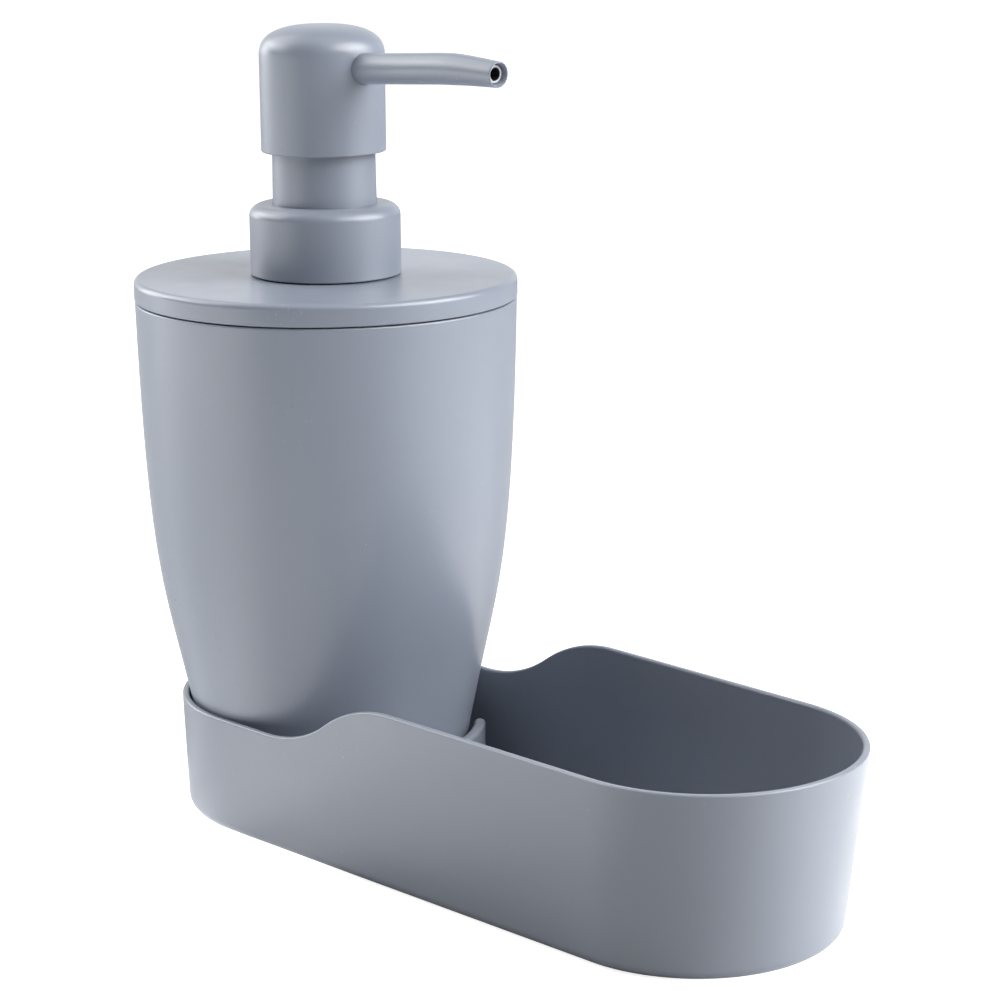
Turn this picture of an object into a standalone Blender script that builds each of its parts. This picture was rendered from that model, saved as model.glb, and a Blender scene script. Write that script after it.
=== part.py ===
# Soap dispenser: a lidded cup with a lotion pump, standing in a caddy with a sponge compartment.
# Metres, +Z up. The origin is on the cup's axis, on the surface that the caddy stands on.
# +X runs along the caddy, towards the sponge compartment, and the spout points the same way.

import math

import bmesh
import bpy
import numpy as np
from mathutils import Vector

MM = 0.001

# Fits
SEAT_GAP = 0.3 * MM
BONDED_GAP = 0.3 * MM
RUNNING_CLEARANCE = 0.15 * MM
CUT_OVERRUN = 1.0 * MM
MERGE_DISTANCE = 0.00001

# Cup
CUP_HEIGHT = 118.6 * MM
CUP_RIM_RADIUS = 43.88 * MM
CUP_FOOT_RADIUS = 30.1 * MM
CUP_FOOT_HEIGHT = 3.3 * MM
CUP_FOOT_ROUND = 2.4 * MM
CUP_FLARE_ANGLE = math.radians(9.1)
CUP_RIM_ANGLE = math.radians(1.15)
CUP_LOWER_HANDLE_SHARE = 0.431
CUP_UPPER_HANDLE_SHARE = 0.665
CUP_WALL = 1.9 * MM
CUP_FLOOR = 2.2 * MM
CUP_INNER_ROUND = 3.0 * MM
CUP_RIM_ROUND = 0.45 * MM
CUP_FOOT_RING = 3.5 * MM
CUP_FOOT_RECESS = 0.9 * MM

# Caddy
TRAY_LENGTH = 115.5 * MM
TRAY_FAR_RADIUS = 35.05 * MM
TRAY_HIGH_RIM = 41.2 * MM
TRAY_LOW_RIM = 27.6 * MM
TRAY_WALL = 1.6 * MM
TRAY_FLOOR = 2.4 * MM
TRAY_NEAR_DRAFT = math.radians(2.1)
TRAY_FAR_DRAFT = math.radians(3.64)
TRAY_FAR_LEAN = math.radians(3.36)
TRAY_BASE_ROUND = 2.4 * MM
TRAY_FLOOR_ROUND = 1.6 * MM
TRAY_RIM_ROUND = 0.6 * MM
CUP_WELL_CLEARANCE = 0.35 * MM
RIM_STEP_CENTRE = 36.95 * MM
RIM_STEP_LENGTH = 41.5 * MM
PARTITION_HEIGHT = 19.0 * MM
PARTITION_WALL = 2.7 * MM
PARTITION_ROUND = 0.9 * MM
PARTITION_CLEARANCE = 0.9 * MM
PARTITION_HALF_ANGLE = math.radians(44.0)
PARTITION_STEPS = 14
DRAIN_RIB_COUNT = 5
DRAIN_RIB_SPACING = 15.0 * MM
DRAIN_RIB_START = 58.0 * MM
DRAIN_RIB_LENGTH = 44.0 * MM
DRAIN_RIB_WIDTH = 2.4 * MM
DRAIN_RIB_HEIGHT = 1.4 * MM
DRAIN_RIB_ROUND = 0.5 * MM

# Lid
LID_OVERHANG = 0.12 * MM
LID_RIM_HEIGHT = 4.93 * MM
LID_EDGE_ROUND = 1.35 * MM
LID_LOWER_ROUND = 0.3 * MM
LID_PLATE = 2.0 * MM
LID_SKIRT_DEPTH = 8.2 * MM
LID_SKIRT_WALL = 1.7 * MM
LID_SKIRT_CLEARANCE = 0.35 * MM
SEAL_SECTION_RADIUS = 0.85 * MM
SEAL_DEPTH = 4.6 * MM
SEAL_CLEARANCE = 0.12 * MM

# Threaded neck on the lid, and the closure that screws down on it
NECK_HEIGHT = 9.55 * MM
NECK_RADIUS = 12.9 * MM
NECK_WALL = 2.0 * MM
NECK_LIP_ROUND = 0.4 * MM
THREAD_DEPTH = 1.2 * MM
GASKET_THICKNESS = 1.3 * MM
HOUSING_FLANGE = 1.1 * MM
SLEEVE_FLANGE = 1.0 * MM
NUT_TOP_WALL = 1.1 * MM
NUT_WALL = 2.0 * MM
NUT_SHOULDER_ROUND = 2.2 * MM
COLLAR_TOP_WALL = 0.8 * MM
COLLAR_WALL = 0.9 * MM
COLLAR_SHOULDER_RISE = 2.6 * MM
COLLAR_SHOULDER_RUN = 3.1 * MM
COLLAR_LOWER_ROUND = 0.3 * MM

# Neck sleeve, which the head slides over
SLEEVE_FOOT_RADIUS = 11.94 * MM
SLEEVE_TOP_RADIUS = 11.72 * MM
SLEEVE_WALL = 1.2 * MM
SLEEVE_TOP_WALL = 1.2 * MM
SLEEVE_ENGAGEMENT = 2.6 * MM
SLEEVE_TOP_ROUND = 0.6 * MM
SLEEVE_BORE_CLEARANCE = 1.3 * MM

# Pump
STROKE = 11.2 * MM
PRESS_STOP_GAP = 0.62 * MM
HOUSING_BORE_RADIUS = 7.6 * MM
HOUSING_WALL = 1.3 * MM
VENT_RADIUS = 0.7 * MM
VENT_DEPTH = 5.5 * MM
CHAPLET_DEPTH = 9.25 * MM
CHAPLET_FLANGE = 1.2 * MM
CHAPLET_GUIDE_HEIGHT = 4.0 * MM
CHAPLET_GUIDE_WALL = 1.4 * MM
CHAPLET_SKIRT_WALL = 1.1 * MM
STEM_RADIUS = 3.6 * MM
STEM_BORE_RADIUS = 2.0 * MM
STEM_SHOULDER_HEIGHT = 1.5 * MM
STEM_SHOULDER_RADIUS = 4.9 * MM
STEM_GUIDE_CLEARANCE = 0.25 * MM
STEM_PORT_RADIUS = 0.8 * MM
STEM_PORT_RISE = 3.2 * MM
PISTON_SLIP = 1.2 * MM
PISTON_HUB_HEIGHT = 7.2 * MM
PISTON_HUB_WALL = 1.15 * MM
PISTON_CHAMBER_HEIGHT = 4.4 * MM
PISTON_CHAMBER_DEPTH = 0.45 * MM
PISTON_WEB = 1.4 * MM
PISTON_SKIRT_WALL = 1.0 * MM
PISTON_SKIRT_HEIGHT = 8.6 * MM
PISTON_LIP_FLARE = 0.3 * MM
PISTON_LIP_HEIGHT = 1.6 * MM
VALVE_FLANGE = 1.6 * MM
VALVE_FLANGE_RADIUS = 5.2 * MM
VALVE_STUB_HEIGHT = 1.9 * MM
SPRING_LENGTH = 25.2 * MM
SPRING_MEAN_RADIUS = 4.35 * MM
SPRING_WIRE_RADIUS = 0.45 * MM
SPRING_CURLS = 9
SPRING_CURL_POINTS = 10
CAGE_LIP_HEIGHT = 1.3 * MM
CAGE_LIP_RADIUS = 2.1 * MM
CAGE_RADIUS = 3.3 * MM
CAGE_WALL = 1.6 * MM
BALL_RADIUS = 2.5 * MM
BALL_LIFT = 1.5 * MM
BALL_SEAT_RADIUS = 1.5 * MM
BALL_SEAT_ANGLE = math.radians(45.0)
BALL_SEAT_PLATE = 1.4 * MM
TUBE_RADIUS = 2.85 * MM
TUBE_WALL = 0.8 * MM
TUBE_SOCKET_DEPTH = 11.0 * MM
TUBE_FLOOR_GAP = 3.0 * MM
TUBE_CUT_ANGLE = math.radians(40.0)

# Head
HEAD_HEIGHT = 28.55 * MM
HEAD_RADIUS = 14.22 * MM
HEAD_DOME_HEIGHT = 7.0 * MM
HEAD_DOME_EXPONENT = 2.58
HEAD_WALL = 1.4 * MM
HEAD_TOP_WALL = 1.6 * MM
HEAD_LOWER_ROUND = 0.3 * MM
CORE_PRESS_CLEARANCE = 1.1 * MM
CORE_FLANGE = 1.4 * MM
CORE_SOCKET_WALL = 1.9 * MM
CORE_SOCKET_DEPTH = 11.0 * MM
CORE_BLOCK_RADIUS = 6.6 * MM
CORE_BLOCK_RISE = 4.4 * MM
CORE_BOSS_RADIUS = 4.6 * MM

# Spout
SPOUT_RISE = 18.42 * MM
SPOUT_REACH = 56.6 * MM
SPOUT_BEND_REACH = 43.5 * MM
SPOUT_BEND_ROUND_SHARE = 0.455
SPOUT_CLIMB_ANGLE = math.radians(3.25)
SPOUT_DROP_ANGLE = math.radians(2.4)
SPOUT_ROOT_RADIUS = 3.42 * MM
SPOUT_TIP_RADIUS = 2.8 * MM
SPOUT_PLUG_DEPTH = 4.4 * MM
SPOUT_BORE_RADIUS = 2.15 * MM
SPOUT_MOUTH_RADIUS = 2.5 * MM
SPOUT_MOUTH_DEPTH = 1.1 * MM
LINER_BEND_GAP = 1.08 * MM
LINER_BORE_RADIUS = 1.42 * MM
LINER_CLEARANCE = 0.15 * MM

# Facets
BODY_STEPS = 44
PUMP_STEPS = 36
INNER_STEPS = 24
TUBE_STEPS = 16
ROUND_STEPS = 3
DOME_STEPS = 8
CUP_WALL_STEPS = 8
SMALL_ROUND = 0.8 * MM
SHARP_ANGLE = math.radians(30.0)

# Heights that follow from the sizes above, from the bottom up
cup_base_z = TRAY_FLOOR + SEAT_GAP
cup_rim_z = cup_base_z + CUP_HEIGHT
lid_seam_z = cup_rim_z + SEAT_GAP
lid_top_z = lid_seam_z + LID_RIM_HEIGHT
neck_top_z = lid_top_z + NECK_HEIGHT
gasket_z = neck_top_z + SEAT_GAP
housing_flange_z = gasket_z + GASKET_THICKNESS + SEAT_GAP
housing_top_z = housing_flange_z + HOUSING_FLANGE
sleeve_z = housing_top_z + SEAT_GAP
nut_top_z = sleeve_z + SLEEVE_FLANGE + SEAT_GAP + NUT_TOP_WALL
collar_foot_z = lid_top_z + SEAT_GAP
collar_top_z = nut_top_z + BONDED_GAP + COLLAR_TOP_WALL
head_z = collar_top_z + STROKE + PRESS_STOP_GAP
sleeve_top_z = head_z + SLEEVE_ENGAGEMENT
core_flange_z = sleeve_top_z + STROKE + CORE_PRESS_CLEARANCE
chaplet_foot_z = housing_top_z - CHAPLET_DEPTH
stem_shoulder_z = chaplet_foot_z - SEAT_GAP - STEM_SHOULDER_HEIGHT
piston_z = stem_shoulder_z - SEAT_GAP - PISTON_SLIP - PISTON_HUB_HEIGHT
valve_top_z = piston_z - SEAT_GAP
spring_top_z = valve_top_z - VALVE_FLANGE - SEAT_GAP
spring_ledge_z = spring_top_z - SPRING_LENGTH - SEAT_GAP
ball_z = spring_ledge_z - CAGE_LIP_HEIGHT - SEAT_GAP - BALL_LIFT - BALL_RADIUS
spout_z = head_z + SPOUT_RISE

# Radii that follow from the sizes above
lid_radius = CUP_RIM_RADIUS + LID_OVERHANG
nut_bore_radius = NECK_RADIUS + THREAD_DEPTH
nut_radius = nut_bore_radius + NUT_WALL
collar_radius = nut_radius + BONDED_GAP + COLLAR_WALL
flange_radius = NECK_RADIUS + SEAT_GAP
socket_radius = STEM_RADIUS + RUNNING_CLEARANCE
head_bore_radius = HEAD_RADIUS - HEAD_WALL


def clear_scene():
    """Remove what a new file starts with, so that only this part is in the scene."""
    for item in list(bpy.data.objects):
        bpy.data.objects.remove(item, do_unlink=True)


def new_collection(name):
    """A collection of its own in the scene."""
    collection = bpy.data.collections.new(name)
    bpy.context.scene.collection.children.link(collection)
    return collection


def new_material(name, colour, roughness, metallic=0.0, alpha=1.0):
    """A Principled material with one colour."""
    material = bpy.data.materials.new(name)
    material.use_nodes = True
    shader = material.node_tree.nodes["Principled BSDF"]
    shader.inputs["Base Color"].default_value = (*colour, 1.0)
    shader.inputs["Roughness"].default_value = roughness
    shader.inputs["Metallic"].default_value = metallic
    shader.inputs["Alpha"].default_value = alpha
    material.diffuse_color = (*colour, 1.0)
    return material


def rounded(corners, closed=True):
    """An outline in the (radius, height) plane. A corner is (radius, height) or
    (radius, height, fillet). A fillet becomes an arc, or a bevel where it is small."""
    count = len(corners)
    outline = []
    for index, corner in enumerate(corners):
        here = np.array(corner[:2])
        fillet = corner[2] if len(corner) > 2 else 0.0
        at_end = not closed and index in (0, count - 1)
        if fillet == 0.0 or at_end:
            outline.append(tuple(here))
            continue
        before = np.array(corners[index - 1][:2]) - here
        after = np.array(corners[(index + 1) % count][:2]) - here
        before_length = np.linalg.norm(before)
        after_length = np.linalg.norm(after)
        before = before / before_length
        after = after / after_length
        half_angle = 0.5 * math.acos(np.clip(before @ after, -1.0, 1.0))
        set_back = fillet / math.tan(half_angle)
        bisector = (before + after) / np.linalg.norm(before + after)
        centre = here + bisector * fillet / math.sin(half_angle)
        start = here + before * set_back - centre
        end = here + after * set_back - centre
        sweep = math.pi - 2.0 * half_angle
        steps = ROUND_STEPS if fillet > SMALL_ROUND else 1
        for step in range(steps + 1):
            share = step / steps
            arm = start * math.sin((1.0 - share) * sweep) + end * math.sin(share * sweep)
            outline.append(tuple(centre + arm / math.sin(sweep)))
    return outline


def bake(piece):
    """Turn a piece's modifiers or curve into a plain welded mesh, shaded smooth."""
    bpy.context.view_layer.update()
    evaluated = piece.evaluated_get(bpy.context.evaluated_depsgraph_get())
    mesh = bpy.data.meshes.new_from_object(evaluated)
    mesh.name = piece.name
    shell = bmesh.new()
    shell.from_mesh(mesh)
    bmesh.ops.remove_doubles(shell, verts=shell.verts, dist=MERGE_DISTANCE)
    shell.to_mesh(mesh)
    shell.free()
    mesh.shade_smooth()
    mesh.set_sharp_from_angle(angle=SHARP_ANGLE)
    return mesh


def add_piece(name, mesh, material, collection, z=0.0):
    """An object with a mesh and a material, standing at a height on the cup's axis."""
    piece = bpy.data.objects.new(name, mesh)
    piece.data.materials.clear()
    if material is not None:
        piece.data.materials.append(material)
    piece.location.z = z
    collection.objects.link(piece)
    return piece


def turned(name, outline, steps, material, collection, z=0.0, closed=True):
    """A body of revolution. The outline runs down its outer side and up its inner side."""
    count = len(outline)
    links = [(index, index + 1) for index in range(count - 1)]
    if closed:
        links.append((count - 1, 0))
    profile = bpy.data.meshes.new(name + "_profile")
    profile.from_pydata([(radius, 0.0, height) for radius, height in outline], links, [])
    lathe = bpy.data.objects.new(name + "_lathe", profile)
    collection.objects.link(lathe)
    screw = lathe.modifiers.new("Revolve", "SCREW")
    screw.axis = "Z"
    screw.steps = steps
    screw.render_steps = steps
    screw.use_merge_vertices = True
    screw.merge_threshold = MERGE_DISTANCE
    mesh = bake(lathe)
    bpy.data.objects.remove(lathe, do_unlink=True)
    bpy.data.meshes.remove(profile)
    mesh.name = name
    return add_piece(name, mesh, material, collection, z)


def make_tool(piece):
    """Mark an object as a cutter, which isn't part of the product."""
    piece.hide_render = True
    piece.display_type = "WIRE"
    return piece


def cylinder_tool(name, radius, start, end, tools, steps=INNER_STEPS):
    """A solid cylinder between two points, for cutting or joining."""
    start = np.array(start)
    end = np.array(end)
    along = end - start
    bpy.ops.mesh.primitive_cylinder_add(vertices=steps, radius=radius, depth=np.linalg.norm(along))
    piece = bpy.context.object
    piece.name = name
    piece.location = (start + end) / 2
    piece.rotation_mode = "QUATERNION"
    piece.rotation_quaternion = direction_turn(along)
    for collection in list(piece.users_collection):
        collection.objects.unlink(piece)
    tools.objects.link(piece)
    return make_tool(piece)


def direction_turn(along):
    """The turn that lays a piece's own Z axis along a direction."""
    return Vector(along).to_track_quat("Z", "Y")


def combine(piece, tool, operation):
    """Cut a tool away from a piece, or join it on."""
    boolean = piece.modifiers.new(tool.name, "BOOLEAN")
    boolean.operation = operation
    boolean.solver = "EXACT"
    boolean.object = tool


def carry(carrier, pieces):
    """Parent pieces to what carries them, and leave them where they stand."""
    for piece in pieces:
        piece.parent = carrier
        piece.location.z -= carrier.location.z


def joint_empty(name, z, collection):
    """An empty on the axis that a group of pieces moves along or about."""
    empty = bpy.data.objects.new(name, None)
    empty.location.z = z
    empty.empty_display_size = HEAD_RADIUS
    collection.objects.link(empty)
    return empty


# Cup

def cup_wall(offset, steps):
    """Points up the cup's flared wall, from its foot to its rim, moved inwards by an offset.
    The wall is one cubic curve: it leaves the foot at the flare angle and is almost
    upright at the rim."""
    wall_height = CUP_HEIGHT - CUP_FOOT_HEIGHT
    foot = np.array([CUP_FOOT_RADIUS, CUP_FOOT_HEIGHT])
    rim = np.array([CUP_RIM_RADIUS, CUP_HEIGHT])
    flare = np.array([math.sin(CUP_FLARE_ANGLE), math.cos(CUP_FLARE_ANGLE)])
    upright = np.array([math.sin(CUP_RIM_ANGLE), math.cos(CUP_RIM_ANGLE)])
    lower = foot + flare * CUP_LOWER_HANDLE_SHARE * wall_height
    upper = rim - upright * CUP_UPPER_HANDLE_SHARE * wall_height
    points = []
    for step in range(steps + 1):
        t = step / steps
        back = 1.0 - t
        place = foot * back**3 + 3 * lower * t * back**2 + 3 * upper * t**2 * back + rim * t**3
        run = (lower - foot) * back**2 + 2 * (upper - lower) * t * back + (rim - upper) * t**2
        inward = np.array([-run[1], run[0]]) / np.linalg.norm(run)
        points.append(place + inward * offset)
    return np.array(points)


def cup_radius_at(height, offset=0.0):
    """The cup's radius at a height above its base."""
    wall = cup_wall(offset, 60)
    return float(np.interp(height, wall[:, 1], wall[:, 0]))


def build_cup(material, parts):
    outer = cup_wall(0.0, CUP_WALL_STEPS)
    inner = cup_wall(CUP_WALL, CUP_WALL_STEPS)
    foot_run = math.tan(CUP_FLARE_ANGLE) * CUP_FOOT_HEIGHT
    foot_corner = CUP_FOOT_RADIUS - foot_run
    ring_inner = foot_corner - CUP_FOOT_ROUND - CUP_FOOT_RING
    floor_z = CUP_FOOT_RECESS + CUP_FLOOR
    inner_corner = inner[0, 0] - math.tan(CUP_FLARE_ANGLE) * (inner[0, 1] - floor_z)
    above_round = inner[:, 1] > floor_z + CUP_INNER_ROUND + CUP_WALL
    corners = [(inner_corner, floor_z, CUP_INNER_ROUND)]
    corners += [tuple(point) for point in inner[above_round][:-1]]
    corners += [(CUP_RIM_RADIUS - CUP_WALL, CUP_HEIGHT, CUP_RIM_ROUND)]
    corners += [(CUP_RIM_RADIUS, CUP_HEIGHT, CUP_RIM_ROUND)]
    corners += [tuple(point) for point in outer[::-1][1:]]
    corners += [(foot_corner, 0.0, CUP_FOOT_ROUND)]
    corners += [(ring_inner, 0.0), (ring_inner - CUP_FOOT_RECESS, CUP_FOOT_RECESS)]
    outline = rounded([(0.0, floor_z)] + corners + [(0.0, CUP_FOOT_RECESS)], closed=False)
    return turned("cup", outline, BODY_STEPS, material, parts, cup_base_z, closed=False)


# Caddy

def tray_plan(height):
    """Outer radii of the tray's two round ends, and the distance between their centres."""
    well_radius = cup_radius_at(TRAY_LOW_RIM - cup_base_z) + CUP_WELL_CLEARANCE
    near = well_radius + TRAY_WALL + (height - TRAY_LOW_RIM) * math.tan(TRAY_NEAR_DRAFT)
    far = TRAY_FAR_RADIUS + (height - TRAY_HIGH_RIM) * math.tan(TRAY_FAR_DRAFT)
    length = TRAY_LENGTH + (height - TRAY_HIGH_RIM) * math.tan(TRAY_FAR_LEAN)
    return near, far, length


def rim_height(x):
    """Height of the rim: low round the cup, high round the sponge end. The step between them
    is two equal arcs, a hollow one and a full one, that meet at the middle of the step."""
    half_rise = (TRAY_HIGH_RIM - TRAY_LOW_RIM) / 2
    half_run = RIM_STEP_LENGTH / 2
    arc_radius = (half_run**2 + half_rise**2) / (2 * half_rise)
    past_middle = x - RIM_STEP_CENTRE
    before_end = max(half_run - abs(past_middle), 0.0)
    sag = arc_radius - math.sqrt(arc_radius**2 - before_end**2)
    return TRAY_LOW_RIM + half_rise + math.copysign(half_rise - sag, past_middle)


def tray_stations():
    """Places round the tray's outline, as (stretch, share). The two straight sides have
    closer places where the rim steps up."""
    end_steps = 18
    step_start_share = (RIM_STEP_CENTRE - RIM_STEP_LENGTH / 2) / TRAY_LENGTH
    step_end_share = (RIM_STEP_CENTRE + RIM_STEP_LENGTH / 2) / TRAY_LENGTH
    side = [0.0, step_start_share / 2]
    side += list(np.linspace(step_start_share, step_end_share, 13))
    side += [(1.0 + step_end_share) / 2, 1.0]
    stations = [("far_end", share) for share in np.linspace(0.0, 1.0, end_steps + 1)[:-1]]
    stations += [("back_side", share) for share in side[::-1][:-1]]
    stations += [("near_end", share) for share in np.linspace(0.0, 1.0, end_steps + 1)[:-1]]
    stations += [("front_side", share) for share in side[:-1]]
    return stations


def tray_point(station, height, inset):
    """A point on the tray's skin at one station and height, moved inwards by an inset."""
    near, far, length = tray_plan(height)
    near -= inset
    far -= inset
    side_angle = math.pi / 2 - math.asin((near - far) / length)
    stretch, share = station
    if stretch == "far_end":
        angle = side_angle * (2.0 * share - 1.0)
        return (length + far * math.cos(angle), far * math.sin(angle), height)
    if stretch == "near_end":
        angle = side_angle + share * 2.0 * (math.pi - side_angle)
        return (near * math.cos(angle), near * math.sin(angle), height)
    side = 1.0 if stretch == "back_side" else -1.0
    radius = near + (far - near) * share
    x = length * share + radius * math.cos(side_angle)
    return (x, side * radius * math.sin(side_angle), height)


def tray_section(rim):
    """The wall's section as (height, inset) pairs, from the underside, up the outside,
    over a rim of this height and down to the floor."""
    section = []
    quarter = [math.pi / 2 * step / ROUND_STEPS for step in range(ROUND_STEPS + 1)]
    for angle in quarter:
        drop = TRAY_BASE_ROUND * (1.0 - math.cos(angle))
        section.append((drop, TRAY_BASE_ROUND * (1.0 - math.sin(angle))))
    for angle in quarter:
        rise = TRAY_RIM_ROUND * (math.sin(angle) - 1.0)
        section.append((rim + rise, TRAY_RIM_ROUND * (1.0 - math.cos(angle))))
    for angle in quarter[::-1]:
        rise = TRAY_RIM_ROUND * (math.sin(angle) - 1.0)
        section.append((rim + rise, TRAY_WALL - TRAY_RIM_ROUND * (1.0 - math.cos(angle))))
    for angle in quarter:
        rise = TRAY_FLOOR_ROUND * (1.0 - math.sin(angle))
        section.append((TRAY_FLOOR + rise, TRAY_WALL + TRAY_FLOOR_ROUND * (1.0 - math.cos(angle))))
    return section


def tray_shell():
    """The tray's wall and floor, as a loft of its section round its outline."""
    shell = bmesh.new()
    columns = []
    for station in tray_stations():
        rim = TRAY_HIGH_RIM if station[0] == "far_end" else TRAY_LOW_RIM
        if station[0].endswith("side"):
            rim = rim_height(station[1] * TRAY_LENGTH)
        points = [tray_point(station, height, inset) for height, inset in tray_section(rim)]
        columns.append([shell.verts.new(point) for point in points])
    for here, beside in zip(columns, columns[1:] + columns[:1]):
        for low in range(len(here) - 1):
            shell.faces.new((here[low], beside[low], beside[low + 1], here[low + 1]))
    shell.faces.new([column[0] for column in reversed(columns)])
    shell.faces.new([column[-1] for column in columns])
    bmesh.ops.recalc_face_normals(shell, faces=shell.faces)
    mesh = bpy.data.meshes.new("caddy")
    shell.to_mesh(mesh)
    shell.free()
    mesh.shade_smooth()
    mesh.set_sharp_from_angle(angle=SHARP_ANGLE)
    return mesh


def partition_tool(tools):
    """The arc-shaped wall that keeps the cup in its well. In plan it is a thick arc with
    round ends, and its top edges are rounded."""
    inner_radius = cup_radius_at(PARTITION_HEIGHT - cup_base_z) + PARTITION_CLEARANCE
    middle_radius = inner_radius + PARTITION_WALL / 2
    end_radius = PARTITION_WALL / 2
    plan = []
    for step in range(PARTITION_STEPS + 1):
        angle = PARTITION_HALF_ANGLE * (2.0 * step / PARTITION_STEPS - 1.0)
        plan.append((middle_radius + end_radius, angle, 0.0))
    for step in range(1, 2 * ROUND_STEPS):
        plan.append((middle_radius, PARTITION_HALF_ANGLE, math.pi * step / (2 * ROUND_STEPS)))
    for step in range(PARTITION_STEPS + 1):
        angle = PARTITION_HALF_ANGLE * (1.0 - 2.0 * step / PARTITION_STEPS)
        plan.append((middle_radius - end_radius, angle, 0.0))
    for step in range(1, 2 * ROUND_STEPS):
        plan.append((middle_radius, -PARTITION_HALF_ANGLE, math.pi * (1.0 + step / (2 * ROUND_STEPS))))
    shell = bmesh.new()
    ring = []
    for radius, angle, turn in plan:
        x = radius * math.cos(angle)
        y = radius * math.sin(angle)
        if radius == middle_radius:
            x += end_radius * math.cos(angle + turn)
            y += end_radius * math.sin(angle + turn)
        ring.append(shell.verts.new((x, y, TRAY_FLOOR / 2)))
    foot = shell.faces.new(ring)
    raised = bmesh.ops.extrude_face_region(shell, geom=[foot], use_keep_orig=True)["geom"]
    top = [item for item in raised if isinstance(item, bmesh.types.BMVert)]
    bmesh.ops.translate(shell, vec=(0.0, 0.0, PARTITION_HEIGHT - TRAY_FLOOR / 2), verts=top)
    bmesh.ops.recalc_face_normals(shell, faces=shell.faces)
    edges = [item for item in raised if isinstance(item, bmesh.types.BMEdge)]
    bmesh.ops.bevel(
        shell,
        geom=edges,
        affect="EDGES",
        offset=PARTITION_ROUND,
        segments=2,
        profile=0.5,
        material=-1,
    )
    mesh = bpy.data.meshes.new("partition")
    shell.to_mesh(mesh)
    shell.free()
    return make_tool(add_piece("partition", mesh, None, tools))


def drain_rib_tool(tools):
    """Low ribs across the sponge compartment's floor, which keep the sponge out of the water."""
    shell = bmesh.new()
    height = DRAIN_RIB_HEIGHT + TRAY_FLOOR / 2
    for index in range(DRAIN_RIB_COUNT):
        box = bmesh.ops.create_cube(shell, size=1.0)["verts"]
        bmesh.ops.scale(shell, vec=(DRAIN_RIB_WIDTH, DRAIN_RIB_LENGTH, height), verts=box)
        place = (DRAIN_RIB_START + index * DRAIN_RIB_SPACING, 0.0, (TRAY_FLOOR + height) / 2)
        bmesh.ops.translate(shell, vec=place, verts=box)
    bmesh.ops.bevel(
        shell,
        geom=shell.edges[:],
        affect="EDGES",
        offset=DRAIN_RIB_ROUND,
        segments=2,
        profile=0.5,
        material=-1,
    )
    mesh = bpy.data.meshes.new("drain_ribs")
    shell.to_mesh(mesh)
    shell.free()
    return make_tool(add_piece("drain_ribs", mesh, None, tools))


def build_caddy(material, parts, tools):
    caddy = add_piece("caddy", tray_shell(), material, parts)
    combine(caddy, partition_tool(tools), "UNION")
    combine(caddy, drain_rib_tool(tools), "UNION")
    return caddy


# Lid

def seal_ring_radius():
    """Radius of the seal's centre line, just inside the cup's wall."""
    cup_bore = cup_radius_at(CUP_HEIGHT - SEAL_DEPTH - SEAL_SECTION_RADIUS, CUP_WALL)
    return cup_bore - SEAL_CLEARANCE - SEAL_SECTION_RADIUS


def build_lid(material, parts):
    """A plate with a rim that sits on the cup, a skirt that plugs into it, and the pump's neck."""
    cup_bore = cup_radius_at(CUP_HEIGHT - LID_SKIRT_DEPTH, CUP_WALL)
    skirt_radius = cup_bore - LID_SKIRT_CLEARANCE
    skirt_foot = -LID_SKIRT_DEPTH
    groove_top = -SEAL_DEPTH + SEAL_SECTION_RADIUS + SEAT_GAP
    groove_foot = -SEAL_DEPTH - SEAL_SECTION_RADIUS - SEAT_GAP
    groove_radius = seal_ring_radius() - SEAL_SECTION_RADIUS - SEAT_GAP
    top = LID_RIM_HEIGHT
    skirt_inner = groove_radius - LID_SKIRT_WALL
    outline = rounded([
        (NECK_RADIUS - NECK_WALL, top + NECK_HEIGHT, NECK_LIP_ROUND),
        (NECK_RADIUS, top + NECK_HEIGHT, NECK_LIP_ROUND),
        (NECK_RADIUS, top),
        (lid_radius, top, LID_EDGE_ROUND),
        (lid_radius, 0.0, LID_LOWER_ROUND),
        (skirt_radius, 0.0),
        (skirt_radius, groove_top),
        (groove_radius, groove_top),
        (groove_radius, groove_foot),
        (skirt_radius, groove_foot),
        (skirt_radius, skirt_foot, SEAT_GAP),
        (skirt_inner, skirt_foot, SEAT_GAP),
        (skirt_inner, top - LID_PLATE),
        (NECK_RADIUS - NECK_WALL, top - LID_PLATE),
    ])
    return turned("lid", outline, BODY_STEPS, material, parts, lid_seam_z)


def build_lid_seal(material, parts):
    """The ring in the skirt's groove."""
    bpy.ops.mesh.primitive_torus_add(
        major_radius=seal_ring_radius(),
        minor_radius=SEAL_SECTION_RADIUS,
        major_segments=BODY_STEPS,
        minor_segments=6,
    )
    ring = bpy.context.object
    ring.data.shade_smooth()
    mesh = ring.data
    bpy.data.objects.remove(ring, do_unlink=True)
    return add_piece("lid_seal", mesh, material, parts, lid_seam_z - SEAL_DEPTH)


# Closure

def collar_outline(offset, foot, top):
    """The closure's outer form, moved inwards by an offset: an upright side and a
    shoulder that rounds over to the flat top."""
    rise = COLLAR_SHOULDER_RISE - offset
    run = COLLAR_SHOULDER_RUN - offset
    radius = collar_radius - offset
    points = []
    for step in range(ROUND_STEPS + 1):
        angle = math.pi / 2 * step / ROUND_STEPS
        points.append((radius - run + run * math.sin(angle), top - rise + rise * math.cos(angle)))
    points.append((radius, foot))
    return points


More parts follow.
